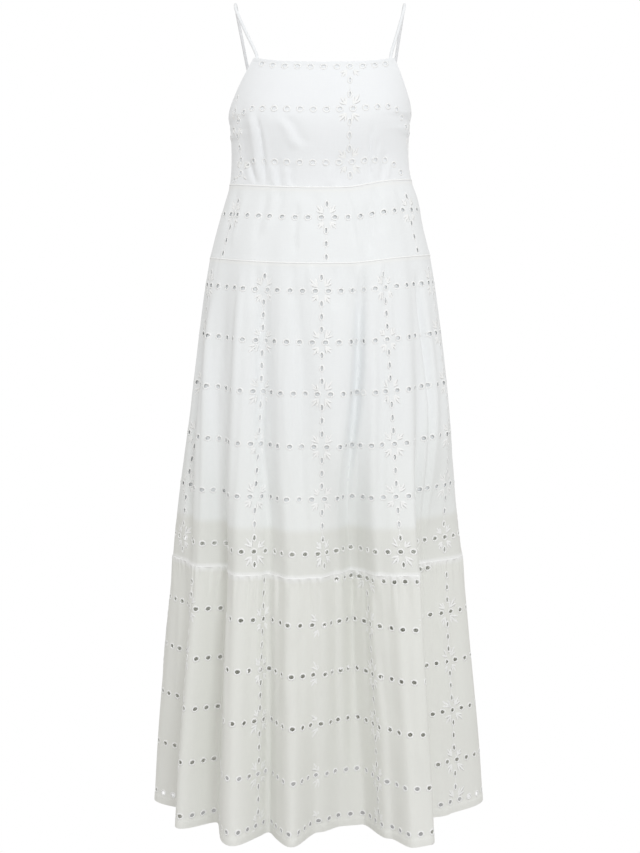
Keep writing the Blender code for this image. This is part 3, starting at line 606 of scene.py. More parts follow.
def cut_piece(name, seams, upper, lower, spacing, eyelets=None, turned_edges=(), behind=None, cloth=CLOTH,
              near_top=(0.0014, 0.0030, 0.0052), near_bottom=(0.0014, 0.0030, 0.0052), gathered=0.0):
    """One piece of cloth: cut flat, draped and thickened. Its points are closer where it is gathered."""
    slack = math.degrees(HALF_SEAM / NARROWEST)
    seams = (seams[0] + slack, seams[1] - slack)
    plan = cutting_plan(seams, upper, lower)
    angles, run = plan
    count = round(run[-1] / spacing)
    even = run[-1] * np.arange(count + 1) / count
    half_step = run[-1] / count / 2
    close = run[-1] * np.arange(2 * count + 1) / count / 2

    def at(x):
        return np.interp(x, run, angles)

    rows = laid_rows(upper, lower, spacing * 1.2, near_top, near_bottom)
    sides = [(x, [float(row(at(np.array([x])))[0]) for row in rows]) for x in (0.0, run[-1])]
    bottom = [(x, h) for x, h in zip(even, lower(at(even)))]
    along_top = close if gathered else even
    top = [(x, h) for x, h in zip(along_top, upper(at(along_top)))]
    outline = bottom + [(sides[1][0], h) for h in sides[1][1]] + top[::-1]
    outline += [(sides[0][0], h) for h in sides[0][1][::-1]]
    flat = [Vector(place) for place in outline]
    edges = [(i, (i + 1) % len(flat)) for i in range(len(flat))]

    centres = np.empty((0, 2))
    hole_of = {}
    if eyelets is not None:
        centres = np.stack([np.interp(eyelets[:, 0], angles, run), eyelets[:, 1]], 1)
        for grow, cut in ((0.0, True), (RING_OUTSIDE, False)):
            for number, (xs, ys) in enumerate(zip(*eyelet_rings(eyelets, plan, grow))):
                start = len(flat)
                flat += [Vector(place) for place in zip(xs, ys)]
                if cut:
                    edges += [(start + i, start + (i + 1) % EYELET_SIDES) for i in range(EYELET_SIDES)]
                    hole_of.update((start + i, number) for i in range(EYELET_SIDES))
    for k, row in enumerate(rows):
        xs = even[1:-1] if k % 2 else even[:-1] + half_step
        if upper(np.zeros(1))[0] - row(np.zeros(1))[0] < gathered:
            xs = close[1:-1] if k % 2 else close[:-1] + half_step / 2
        places = np.stack([xs, row(at(xs))], 1)
        if len(centres):
            near = np.abs(places[:, None] - centres[None])
            places = places[(near.max(-1) > CLEAR_OF_EYELET).all(1)]
        flat += [Vector(place) for place in places]

    inside = 1
    flat_points, _, triangles, came_from, *_ = delaunay_2d_cdt(flat, edges, [], inside, 1e-7)
    # a triangle with its three corners on one eyelet's outline is the waste inside it
    hole_at = [hole_of.get(first[0], -1) if first else -1 for first in came_from]
    faces = [face for face in triangles if hole_at[face[0]] < 0 or len({hole_at[k] for k in face}) > 1]
    plan_points = np.array([tuple(point) for point in flat_points])
    angle, height = at(plan_points[:, 0]), plan_points[:, 1]
    points = drape(angle, height)
    if behind:
        points = points - slopes(angle, height)[2] * behind
    mesh = bpy.data.meshes.new(name)
    mesh.from_pydata(points.tolist(), [], faces)
    flat_map = mesh.uv_layers.new(name="flat")
    corners = np.empty(len(mesh.loops), int)
    mesh.loops.foreach_get("vertex_index", corners)
    flat_map.data.foreach_set("uv", plan_points[corners].ravel())

    piece = bpy.data.objects.new(name, mesh)
    bpy.context.scene.collection.objects.link(piece)
    thick = piece.vertex_groups.new(name="thickness")
    share = np.full(len(angle), cloth / THICKEST)
    for edge_of, band in turned_edges:
        inside = np.abs(height - edge_of(angle)) < band
        share[inside] = min(1.0, 1.9 * cloth / THICKEST)
    for value in np.unique(share):
        thick.add(np.flatnonzero(share == value).tolist(), float(value), "REPLACE")
    solidify = piece.modifiers.new("cloth", "SOLIDIFY")
    solidify.thickness = THICKEST
    solidify.offset = 0.0
    solidify.vertex_group = thick.name
    settle(piece)
    piece.data.set_sharp_from_angle(angle=math.radians(60))
    return piece


def settle(piece):
    """Turn the piece's modifiers into its own plain mesh."""
    graph = bpy.context.evaluated_depsgraph_get()
    finished = bpy.data.meshes.new_from_object(piece.evaluated_get(graph))
    finished.name = piece.name
    piece.modifiers.clear()
    piece.vertex_groups.clear()
    old, piece.data = piece.data, finished
    if isinstance(old, bpy.types.Mesh):
        bpy.data.meshes.remove(old)
    finished.shade_smooth()


# %% [markdown]
# Cotton is not one flat colour. Seen close it has warp and weft threads of uneven thickness, and from
# further off a soft crumple. Both are noise, stretched along the threads on the cutting plan, so they follow
# the cloth round every fold. The effect is a node group, used by the outer cloth and the lining.
# %% Node group: woven threads
def add(tree, kind, inputs=None, **settings):
    """A new node with its settings. Each input is a plain value or another node's output."""
    node = tree.nodes.new(kind)
    for name, value in settings.items():
        setattr(node, name, value)
    for name, value in (inputs or {}).items():
        if isinstance(value, bpy.types.NodeSocket):
            tree.links.new(value, node.inputs[name])
        else:
            node.inputs[name].default_value = value
    return node


def new_group(name, kind, inputs, outputs):
    """A node group with named sockets, and its first and last nodes."""
    group = bpy.data.node_groups.new(name, kind)
    for direction, sockets in (("INPUT", inputs), ("OUTPUT", outputs)):
        for label, socket_kind, *value in sockets:
            socket_type = "NodeSocket" + socket_kind
            socket = group.interface.new_socket(name=label, in_out=direction, socket_type=socket_type)
            if value:
                socket.default_value = value[0]
    return group, add(group, "NodeGroupInput"), add(group, "NodeGroupOutput")


def woven_threads():
    group, start, end = new_group("woven_threads", "ShaderNodeTree",
                                  (("Cloth", "Vector"), ("Threads", "Float", 900.0),
                                   ("Crumple", "Float", 26.0)),
                                  (("Height", "Float"), ("Tone", "Float")))
    cloth = start.outputs["Cloth"]

    def noise(stretch, scale, **sizes):
        """Noise that is drawn out along the cloth."""
        stretched = add(group, "ShaderNodeVectorMath", {0: cloth, 1: stretch}, operation="MULTIPLY")
        inputs = {"Vector": stretched.outputs[0], "Scale": start.outputs[scale], **sizes}
        return add(group, "ShaderNodeTexNoise", inputs).outputs["Fac"]

    warp = noise((1.0, 0.055, 1.0), "Threads", Detail=2.0)
    weft = noise((0.055, 1.0, 1.0), "Threads", Detail=2.0)
    woven = add(group, "ShaderNodeMath", {0: warp, 1: weft}, operation="ADD").outputs[0]
    crumple = noise((1.0, 0.32, 1.0), "Crumple", Detail=3.0, Roughness=0.55)
    weighed = add(group, "ShaderNodeMath", {0: crumple, 1: 14.0, 2: woven}, operation="MULTIPLY_ADD")
    tone = add(group, "ShaderNodeMath", {0: woven, 1: 0.5}, operation="MULTIPLY")
    group.links.new(weighed.outputs[0], end.inputs["Height"])
    group.links.new(tone.outputs[0], end.inputs["Tone"])
    return group


WOVEN_THREADS = woven_threads()

# %% [markdown]
# The outer cloth is thin. The bodice is doubled, so it is the whitest. Where the lining lies behind the
# skirt, the cloth looks solid and a little blue. Below the lining's edge the light goes through the cloth and
# the dark inside of the dress shows through, so the colour there is painted shade: greyer and warmer, darkest
# down to seam two and a little lighter towards the hem. It is a colour ramp over the height on the cutting plan.
# %% The cottons
DOUBLED = (0.950, 0.965, 0.985, 1.0)
LINED = (0.925, 0.942, 0.952, 1.0)
LINED_LOW = (0.920, 0.938, 0.932, 1.0)
# the lining is painted greyer than the cloth: painted shade, so the eyelets in front of it look grey
LINING_PAINTED_SHADE = (0.878, 0.896, 0.910, 1.0)
# painted shade below the lining's edge: the dark inside of the dress, seen through the thin cloth
BELOW_LINING_PAINTED_SHADE = (0.850, 0.857, 0.826, 1.0)
UNLINED_PAINTED_SHADE = (0.872, 0.878, 0.842, 1.0)
AT_HEM = (0.900, 0.904, 0.872, 1.0)
SEAMED = (0.962, 0.968, 0.962, 1.0)
STITCHED = (0.978, 0.980, 0.975, 1.0)
THREAD_SHADE = (0.945, 0.950, 0.948, 1.0)
# heights on the skirt and the colour of the cloth there, with painted shade below the lining's edge
SHADES = ((HEM, AT_HEM), (-1.22, UNLINED_PAINTED_SHADE), (SEAM_TWO - 0.008, UNLINED_PAINTED_SHADE), (SEAM_TWO - 0.003, SEAMED),
          (SEAM_TWO + 0.002, SEAMED), (SEAM_TWO + 0.006, BELOW_LINING_PAINTED_SHADE), (LINING_HEM - 0.008, BELOW_LINING_PAINTED_SHADE),
          (LINING_HEM + 0.008, LINED_LOW), (-0.600, LINED), (SEAM_ONE - 0.008, LINED), (SEAM_ONE - 0.003, SEAMED),
          (SEAM_ONE, LINED),
          (WAIST - 0.010, LINED), (WAIST - 0.004, SEAMED), (WAIST, DOUBLED))


def new_material(name, roughness, sheen):
    material = bpy.data.materials.new(name)
    material.use_nodes = True
    shader = material.node_tree.nodes["Principled BSDF"]
    for label, value in (("Roughness", roughness), ("Metallic", 0.0), ("Specular IOR Level", 0.25),
                         ("Sheen Weight", sheen), ("Sheen Roughness", 0.5)):
        shader.inputs[label].default_value = value
    return material, shader


def shade_by_height(tree, height, shades):
    """A colour that goes from shade to shade as the cloth goes up."""
    low, high = shades[0][0], shades[-1][0]
    share = add(tree, "ShaderNodeMapRange", {"From Min": low, "From Max": high, "Value": height})
    ramp = add(tree, "ShaderNodeValToRGB", {"Fac": share.outputs["Result"]})
    ramp.color_ramp.interpolation = "EASE"
    stops = ramp.color_ramp.elements
    stops.remove(stops[0])
    for number, (at, shade) in enumerate(shades):
        place = (at - low) / (high - low)
        stop = stops[0] if number == 0 else stops.new(place)
        stop.position = place
        stop.color = shade
    return ramp.outputs["Color"]


def cotton(name, shades, threads=900.0):
    """A cotton with its threads and crumple. Its colour is one shade, or goes by height through several."""
    material, shader = new_material(name, 0.88, 0.12)
    tree = material.node_tree
    flat = add(tree, "ShaderNodeUVMap", uv_map="flat").outputs["UV"]
    weave = add(tree, "ShaderNodeGroup", {"Threads": threads, "Cloth": flat}, node_tree=WOVEN_THREADS)
    colour = shades[0][1]
    if len(shades) > 1:
        colour = shade_by_height(tree, add(tree, "ShaderNodeSeparateXYZ", {0: flat}).outputs["Y"], shades)
    toned = add(tree, "ShaderNodeMix", {"Factor": 0.06, "A": colour, "B": weave.outputs["Tone"]},
                data_type="RGBA", blend_type="MULTIPLY")
    bumped = add(tree, "ShaderNodeBump",
                 {"Strength": 0.35, "Distance": 0.0001, "Height": weave.outputs["Height"]})
    tree.links.new(toned.outputs["Result"], shader.inputs["Base Color"])
    tree.links.new(bumped.outputs["Normal"], shader.inputs["Normal"])
    return material


EYELET_COTTON = cotton("eyelet_cotton", SHADES)
LINING_COTTON = cotton("lining_cotton", ((0.0, LINING_PAINTED_SHADE),), threads=1200.0)
print("materials:", EYELET_COTTON.name, LINING_COTTON.name)


# %% The embroidery thread
def embroidery_thread():
    """Satin stitch: fine glossy threads side by side."""
    material, shader = new_material("satin_stitch", 0.55, 0.10)
    tree = material.node_tree
    place = add(tree, "ShaderNodeTexCoord").outputs["Object"]
    noise = add(tree, "ShaderNodeTexNoise", {"Scale": 1400.0, "Detail": 1.0, "Vector": place})
    threads = noise.outputs["Fac"]
    tone = add(tree, "ShaderNodeMix", {"Factor": threads, "A": THREAD_SHADE, "B": STITCHED}, data_type="RGBA")
    bumped = add(tree, "ShaderNodeBump", {"Strength": 0.3, "Distance": 0.0001, "Height": threads})
    tree.links.new(tone.outputs["Result"], shader.inputs["Base Color"])
    tree.links.new(bumped.outputs["Normal"], shader.inputs["Normal"])
    return material


SATIN_STITCH = embroidery_thread()

# %% [markdown]
# Satin stitch rims and leaves are all short lines that lie on the cloth. So each piece gets one drawing of
# such lines, and one Geometry Nodes tree turns it into low rounded ridges: Mesh to Curve, a radius from each
# point's own width, Curve to Mesh, and then the ridge is pressed flat against the cloth.
# %% Geometry Nodes: satin stitch along lines
def finish_tree(tree, geometry, end):
    """The two last steps of a tree: real geometry, in satin stitch."""
    real = add(tree, "GeometryNodeRealizeInstances", {"Geometry": geometry})
    made = add(tree, "GeometryNodeSetMaterial",
               {"Geometry": real.outputs["Geometry"], "Material": SATIN_STITCH})
    tree.links.new(made.outputs["Geometry"], end.inputs[0])
    return tree


def satin_tree():
    tree, start, end = new_group("satin_ridges", "GeometryNodeTree",
                                 (("Lines", "Geometry"), ("Height Share", "Float", 0.4), ("Sides", "Int", 5)),
                                 (("Ridges", "Geometry"),))

    def named(name, kind):
        read = add(tree, "GeometryNodeInputNamedAttribute", {"Name": name}, data_type=kind)
        return read.outputs["Attribute"]

    # tubes along the lines; each point remembers the middle of its tube
    curves = add(tree, "GeometryNodeMeshToCurve", {"Mesh": start.outputs["Lines"]})
    place = add(tree, "GeometryNodeInputPosition").outputs["Position"]
    keep = add(tree, "GeometryNodeStoreNamedAttribute",
               {"Name": "middle", "Geometry": curves.outputs["Curve"], "Value": place},
               data_type="FLOAT_VECTOR")
    circle = add(tree, "GeometryNodeCurvePrimitiveCircle",
                 {"Radius": 1.0, "Resolution": start.outputs["Sides"]})
    tube = add(tree, "GeometryNodeCurveToMesh",
               {"Fill Caps": True, "Curve": keep.outputs["Geometry"],
                "Profile Curve": circle.outputs["Curve"], "Scale": named("width", "FLOAT")})
    # press each tube flat against the cloth, from its middle
    middle, outwards = named("middle", "FLOAT_VECTOR"), named("outwards", "FLOAT_VECTOR")
    out = add(tree, "ShaderNodeVectorMath", {0: place, 1: middle}, operation="SUBTRACT")
    along = add(tree, "ShaderNodeVectorMath", {0: out.outputs[0], 1: outwards}, operation="DOT_PRODUCT")
    less = add(tree, "ShaderNodeMath", {0: start.outputs["Height Share"], 1: 1.0}, operation="SUBTRACT")
    by = add(tree, "ShaderNodeMath", {0: along.outputs["Value"], 1: less.outputs[0]}, operation="MULTIPLY")
    shift = add(tree, "ShaderNodeVectorMath", {0: outwards, "Scale": by.outputs[0]}, operation="SCALE")
    press = add(tree, "GeometryNodeSetPosition",
                {"Geometry": tube.outputs["Mesh"], "Offset": shift.outputs["Vector"]})
    return finish_tree(tree, press.outputs["Geometry"], end)


SATIN_RIDGES = satin_tree()


def drawing(name, lines):
    """A mesh of lines on the cloth. A line has points, the way the cloth faces, widths, and if it closes."""
    points, outwards, widths, edges = [], [], [], []
    for line_points, line_out, line_widths, closed in lines:
        first = len(points)
        points += list(map(tuple, line_points))
        outwards += list(map(tuple, line_out))
        widths += list(line_widths)
        count = len(line_points)
        edges += [(first + i, first + (i + 1) % count) for i in range(count if closed else count - 1)]
    mesh = bpy.data.meshes.new(name)
    mesh.from_pydata(points, edges, [])
    mesh.attributes.new("outwards", "FLOAT_VECTOR", "POINT").data.foreach_set("vector", np.ravel(outwards))
    mesh.attributes.new("width", "FLOAT", "POINT").data.foreach_set("value", np.array(widths, float))
    piece = bpy.data.objects.new(name, mesh)
    bpy.context.scene.collection.objects.link(piece)
    return piece


def use_tree(piece, tree, **sizes):
    """Run a tree on the piece, with its inputs set by name, and keep the mesh that it makes."""
    modifier = piece.modifiers.new(tree.name, "NODES")
    modifier.node_group = tree
    for item in tree.interface.items_tree:
        if item.item_type == "SOCKET" and item.in_out == "INPUT" and item.name in sizes:
            modifier[item.identifier] = sizes[item.name]
    settle(piece)
    for extra in ("outwards", "width", "middle"):
        if extra in piece.data.attributes:
            piece.data.attributes.remove(piece.data.attributes[extra])
    return piece


# %% [markdown]
# One eyelet's rim is a closed ring just outside its hole. A leaf is a line of six points, thick in the
# middle and pointed at both ends. A sprig of three leaves grows on each diagonal of a crossing, and a thin
# stem joins the eyelets of a column.
# %% Rims and leaves on the cloth
RIM_SIDES = 10
RIM_WIDTH = 0.0014
RIM_OUT = 0.0010
LEAF_POINTS = np.array((0.0, 0.15, 0.40, 0.66, 0.88, 1.0))
LEAF_WIDTHS = 0.0022 * np.array((0.35, 0.75, 1.0, 1.0, 0.6, 0.12))
LEAF_CLEAR_OF_EDGE = 0.006
# a sprig's foot, out from the crossing; then each leaf's turn from the sprig, its foot and its length
SPRIG_TURN = 52
SPRIG_FOOT = 0.0084
SPRIG = ((0, 0.0, 0.0180), (-30, 0.0008, 0.0125), (29, 0.0008, 0.0130))
STEM_WIDTH = 0.0006
LONGEST_STEM = 0.025
SEAM_CORD_WIDTH = 0.0015
JUST_PROUD = 0.0004


def on_cloth(angle, height, cloth=CLOTH):
    """Points on the outer face of the cloth, and the way that it faces there."""
    _, _, facing = slopes(angle, height)
    return drape(angle, height) + facing * (cloth / 2), facing


def rims(eyelets):
    angle, height, long, tall = eyelets.T
    across, upwards, _ = slopes(angle, height)
    turned = 2 * math.pi * np.arange(RIM_SIDES) / RIM_SIDES
    angles = angle[:, None] + np.degrees(np.outer((long / 2 + RIM_OUT) / np.linalg.norm(across, axis=1),
                                                  np.cos(turned)))
    heights = height[:, None] + np.outer((tall / 2 + RIM_OUT) / np.linalg.norm(upwards, axis=1),
                                         np.sin(turned))
    points, facing = on_cloth(angles.ravel(), heights.ravel())
    points, facing = points.reshape(-1, RIM_SIDES, 3), facing.reshape(-1, RIM_SIDES, 3)
    widths = np.full(RIM_SIDES, RIM_WIDTH)
    return [(p, f, widths, True) for p, f in zip(points, facing)]


def leaves(crossings, upper, lower, seams, seed):
    """Fans of leaves on the four diagonals of each crossing, left out where they would cross a seam."""
    pick = np.random.default_rng(seed)
    across, upwards, _ = slopes(*crossings[:, :2].T)
    sizes = zip(np.linalg.norm(across, axis=1), np.linalg.norm(upwards, axis=1))
    laid = []
    for (angle, height, bare), (wide, tall) in zip(crossings, sizes):
        for right, up in ((1, -1), (1, 1), (-1, -1), (-1, 1)):
            if right != bare:
                grown = pick.uniform(0.80, 1.12)
                sprig = math.radians(SPRIG_TURN + pick.uniform(-7, 7))
                for turned, foot, long in SPRIG:
                    lean = sprig + math.radians(turned + pick.uniform(-4, 4))
                    out = long * grown * pick.uniform(0.9, 1.05) * LEAF_POINTS
                    across_by = (SPRIG_FOOT + foot) * math.cos(sprig) + out * math.cos(lean)
                    up_by = (SPRIG_FOOT + foot) * math.sin(sprig) + out * math.sin(lean)
                    angles = angle + np.degrees(right * across_by / wide)
                    heights = height + up * up_by / tall
                    below_top = heights < upper(angles) - LEAF_CLEAR_OF_EDGE
                    clear = below_top & (heights > lower(angles) + LEAF_CLEAR_OF_EDGE)
                    if clear.all() and seams[0] + 1 < angles.min() and angles.max() < seams[1] - 1:
                        laid.append((angles, heights))
    points, facing = on_cloth(*(np.concatenate(part) for part in zip(*laid)))
    count = len(LEAF_POINTS)
    points, facing = points.reshape(-1, count, 3), facing.reshape(-1, count, 3)
    return [(p, f, LEAF_WIDTHS, False) for p, f in zip(points, facing)]


def stems(columns):
    """A short satin line from each eyelet of a column to the next one down."""
    angles, heights = [], []
    for column in columns:
        column = column[np.argsort(-column[:, 1])]
        for (angle, high), (next_angle, low) in zip(column, column[1:]):
            if high - low < LONGEST_STEM:
                share = np.array((0.0, 0.5, 1.0))
                reach = COLUMN_EYELET[1] / 2 + RIM_OUT + STEM_WIDTH
                heights.append((high - reach) + (low + reach - high + reach) * share)
                angles.append(angle + (next_angle - angle) * share)
    points, facing = on_cloth(np.concatenate(angles), np.concatenate(heights))
    widths = np.array((0.8, 1.0, 0.8)) * STEM_WIDTH
    return [(p, f, widths, False) for p, f in zip(points.reshape(-1, 3, 3), facing.reshape(-1, 3, 3))]


def seam_cord(height, seams):
    """The raised line of a seam, where the lower tier's allowance is folded and pressed."""
    angles = np.linspace(seams[0] + 0.08, seams[1] - 0.08, int((seams[1] - seams[0]) * 3))
    heights = np.full(len(angles), height)
    _, _, facing = slopes(angles, heights)
    points = drape(angles, heights) + facing * (CLOTH / 2 + JUST_PROUD)
    return [(points, facing, np.full(len(angles), SEAM_CORD_WIDTH), False)]


# %% [markdown]
# Seams and hems are sewn with small straight stitches. They are instances: a line on the cloth is resampled
# at the pitch of the stitches, and a tiny thread is put on every point, turned along the line.
# %% Geometry Nodes: a row of stitches
def stitch_tree():
    tree, start, end = new_group("row_of_stitches", "GeometryNodeTree",
                                 (("Lines", "Geometry"), ("Pitch", "Float", 0.0032),
                                  ("Length", "Float", 0.0024), ("Thickness", "Float", 0.00035)),
                                 (("Stitches", "Geometry"),))
    curves = add(tree, "GeometryNodeMeshToCurve", {"Mesh": start.outputs["Lines"]})
    points = add(tree, "GeometryNodeCurveToPoints",
                 {"Curve": curves.outputs["Curve"], "Length": start.outputs["Pitch"]}, mode="LENGTH")
    outwards = add(tree, "GeometryNodeInputNamedAttribute", {"Name": "outwards"}, data_type="FLOAT_VECTOR")
    turned = add(tree, "FunctionNodeAxesToRotation",
                 {"Primary Axis": points.outputs["Tangent"], "Secondary Axis": outwards.outputs["Attribute"]},
                 primary_axis="X", secondary_axis="Z")
    thread = add(tree, "GeometryNodeMeshUVSphere", {"Segments": 5, "Rings": 4, "Radius": 0.5})
    lying = add(tree, "GeometryNodeTransform",
                {"Geometry": thread.outputs["Mesh"], "Rotation": (0.0, math.pi / 2, 0.0)})
    thickness = start.outputs["Thickness"]
    size = add(tree, "ShaderNodeCombineXYZ", {"X": start.outputs["Length"], "Y": thickness, "Z": thickness})
    laid = add(tree, "GeometryNodeInstanceOnPoints",
               {"Points": points.outputs["Points"], "Instance": lying.outputs["Geometry"],
                "Rotation": turned.outputs["Rotation"], "Scale": size.outputs["Vector"]})
    return finish_tree(tree, laid.outputs["Instances"], end)


ROW_OF_STITCHES = stitch_tree()


def stitch_line(height_at, left, right, raised=CLOTH / 2 + 0.0002):
    """A line for stitches, just on the cloth, at a height that may follow an edge."""
    angles = np.linspace(left, right, max(2, int((right - left) * 2)))
    heights = height_at(angles)
    _, _, facing = slopes(angles, heights)
    points = drape(angles, heights) + facing * raised
    return points, facing, np.zeros(len(angles)), False


# %% [markdown]
# Now the pieces are made, front and back, from the waist seam outwards. Each one replaces its solid and takes
# its finish, and the size that it was cut to is printed.
# %% Make the pieces
def wear(piece, node, material):
    """Put the piece on the frame: its finish, its node and its body."""
    piece.data.materials.clear()
    piece.data.materials.append(material)
    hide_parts(node)
    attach(piece, "root")


def embroider(node, layout, upper, lower, seams, seam_height, stitches, seed):
    """The rims, stems, leaves, seam line and stitches of one piece."""
    eyelets, crossings, columns = layout
    drawn = (("_eyelet_rims", rims(eyelets), 0.32, 6), ("_stems", stems(columns), 0.4, 5),
             ("_leaves", leaves(crossings, upper, lower, seams, seed), 0.08, 6))
    if seam_height is not None:
        drawn += (("_seam_line", seam_cord(seam_height, seams), 0.4, 6),)
    trims = [use_tree(drawing(node + what, lines), SATIN_RIDGES, **{"Height Share": share, "Sides": sides})
             for what, lines, share, sides in drawn]
    trims.append(use_tree(drawing(node + "_stitches", stitches), ROW_OF_STITCHES, Pitch=0.0034))
    for trim in trims:
        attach(trim, "root")
    return trims


def flat_size(seams, upper, lower, at=None):
    """The size that a piece was cut to: its longest run across, and its length from top to bottom."""
    angles = np.linspace(*seams, 721)
    low, tall = lower(angles), upper(angles) - lower(angles)
    runs = [run_of(angles, low + tall * share) for share in (0.0, 0.25, 0.5, 0.75, 1.0)]
    heights = np.linspace(float(lower(np.array([0.0]))[0]), float(upper(np.array([seams[0]]))[0]), 60)
    long = max(run_of(np.full(60, angle), np.linspace(float(lower(np.array([angle]))[0]),
                                                      float(upper(np.array([angle]))[0]), 60))
               for angle in np.linspace(seams[0], seams[1], 7))
    return round(max(runs), 3), round(long, 3), round(sum(runs[1:4]) / 3 * long, 4)


# rows of points near the lower edge: at the hem's turning and at a seam's
NEAR_HEM = (0.0020, 0.0060, 0.0115, 0.0126)
NEAR_SEAM = (0.0014, 0.0030, 0.0044, 0.0052)
# the lining and the bodice's inner layer lie this far behind the middle of the outer cloth
LINING_BEHIND = 0.0021
INNER_BEHIND = 0.0012


def inner_edge(angle):
    """The bodice's inner layer ends near the upper edge, but lower where the straps are sewn on."""
    from_front = np.abs((np.asarray(angle, float) + 180) % 360 - 180)
    near_strap = np.abs(from_front[..., None] - (FRONT_CORNER, BACK_CORNER))
    return top_edge(angle) - 0.0045 - 0.0165 * (1 - ease((near_strap.min(-1) - 4) / 5))


HALVES = {"front": (FRONT_SEAMS, FRONT_CORNER), "back": (BACK_SEAMS, BACK_CORNER)}
for half, (seams, corner) in HALVES.items():
    centre = sum(seams) / 2
    reach = abs(corner - centre) - 5.0
    inner = (seams[0] + 1.0, seams[1] - 1.0)

    # bodice
    edges = (top_edge, level(WAIST + HALF_SEAM))
    if half == "front":
        rows = [(neck_row, centre - reach, centre + reach), (row_two, -84, 84), (row_three, -76, 76)]
    else:
        rows = [(neck_row, centre - reach, centre + reach), (level(-0.205), *inner), (level(-0.259), *inner)]
    eyelets, crossings, columns = lay_out(rows, BODICE_COLUMNS[half], -0.10, WAIST)
    eyelets, *columns = [part[(part[:, 1] < top_edge(part[:, 0]) - 0.0072) & (part[:, 1] > WAIST + 0.0065)]
                         for part in (eyelets, *columns)]
    name = "bodice_" + half
    piece = cut_piece(name + "_cloth", seams, *edges, 0.0032, eyelets, ((top_edge, 0.0046),))
    wear(piece, name, EYELET_COTTON)
    stitches = [stitch_line(lambda a: top_edge(a) - 0.0052, inner[0], inner[1], CLOTH / 2 + 0.0002),
                stitch_line(level(WAIST + 0.0026), *inner)]
    trims = embroider(name, (eyelets, crossings, columns), *edges, seams, WAIST, stitches, 3)
    inner_layer = cut_piece(name + "_inner_layer", seams, inner_edge, level(WAIST + 0.0010), 0.0080,
                            behind=INNER_BEHIND, cloth=0.0008)
    inner_layer.data.materials.append(EYELET_COTTON)
    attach(inner_layer, "root")
    trims.append(inner_layer)
    width, length, area = flat_size(seams, *edges)
    print(name, "eyelets", len(eyelets), "flat", width, length, area, "faces", len(piece.data.polygons))

    # the three tiers
    tiers = (
        ("tier_one_", WAIST - HALF_SEAM, SEAM_ONE + HALF_SEAM, TIER_ONE_ROWS, TIER_ONE_COLUMNS, 0.0040),
        ("tier_two_", SEAM_ONE - HALF_SEAM, SEAM_TWO + HALF_SEAM, TIER_TWO_ROWS, TIER_TWO_COLUMNS, 0.0042),
        ("tier_three_", SEAM_TWO - HALF_SEAM, HEM, TIER_THREE_ROWS, TIER_THREE_COLUMNS, 0.0046),
    )
    for tier, top, bottom, tier_rows, columns, spacing in tiers:
        name = tier + half
        edges = (level(top), level(bottom))
        rows = [(height_at, *seams) for height_at in tier_rows]
        hidden = None
        if name == "tier_three_front":
            rows.append((level(-0.9345), 5.5, 66.0))
            hidden = columns[half][2]
        layout = lay_out(rows, columns[half], top, bottom, hidden)
        eyelets = layout[0]
        last = tier == "tier_three_"
        turned = ((level(HEM), 0.012),) if last else ((level(bottom), 0.0046),)
        piece = cut_piece(name + "_cloth", seams, *edges, spacing, eyelets, turned,
                          near_bottom=NEAR_HEM if last else NEAR_SEAM,
                          gathered=0.060 if last else 0.0)
        wear(piece, name, EYELET_COTTON)
        stitches = [stitch_line(level(bottom + (0.0108 if last else 0.0030)), *inner, CLOTH + 0.0001)]
        trims = embroider(name, layout, *edges, seams, None if last else bottom, stitches, 5)
        width, length, area = flat_size(seams, *edges)
        print(name, "eyelets", len(eyelets), "flat", width, length, area, "faces", len(piece.data.polygons))

    # lining
    name = "lining_" + half
    edges = (level(WAIST - 0.004), level(LINING_HEM))
    piece = cut_piece(name + "_cloth", seams, *edges, 0.0085, turned_edges=((level(LINING_HEM), 0.008),),
                      behind=LINING_BEHIND, cloth=LINING_CLOTH, near_bottom=(0.0040, 0.0075, 0.0085))
    wear(piece, name, LINING_COTTON)
    width, length, area = flat_size(seams, *edges)
    print(name, "flat", width, length, area, "faces", len(piece.data.polygons))

# %% [markdown]
# The straps are narrow tubes of turned cloth. A tube that follows a path is a ring of points swept along a smooth
# path.
# %% Straps
STRAP_RADIUS = 0.0026
SHOULDER = ((0.1362, -0.032, -0.0190), (0.1388, -0.016, -0.0072), (0.1396, 0.002, -STRAP_RADIUS),
            (0.1390, 0.020, -0.0080), (0.1372, 0.034, -0.0220))


def behind_edge(angle, height):
    """A point behind the bodice, where the strap is sewn on."""
    angle, height = np.array([angle], float), np.array([height], float)
    _, _, facing = slopes(angle, height)
    return (drape(angle, height) - facing * (CLOTH / 2 + SEAM_GAP + STRAP_RADIUS))[0]


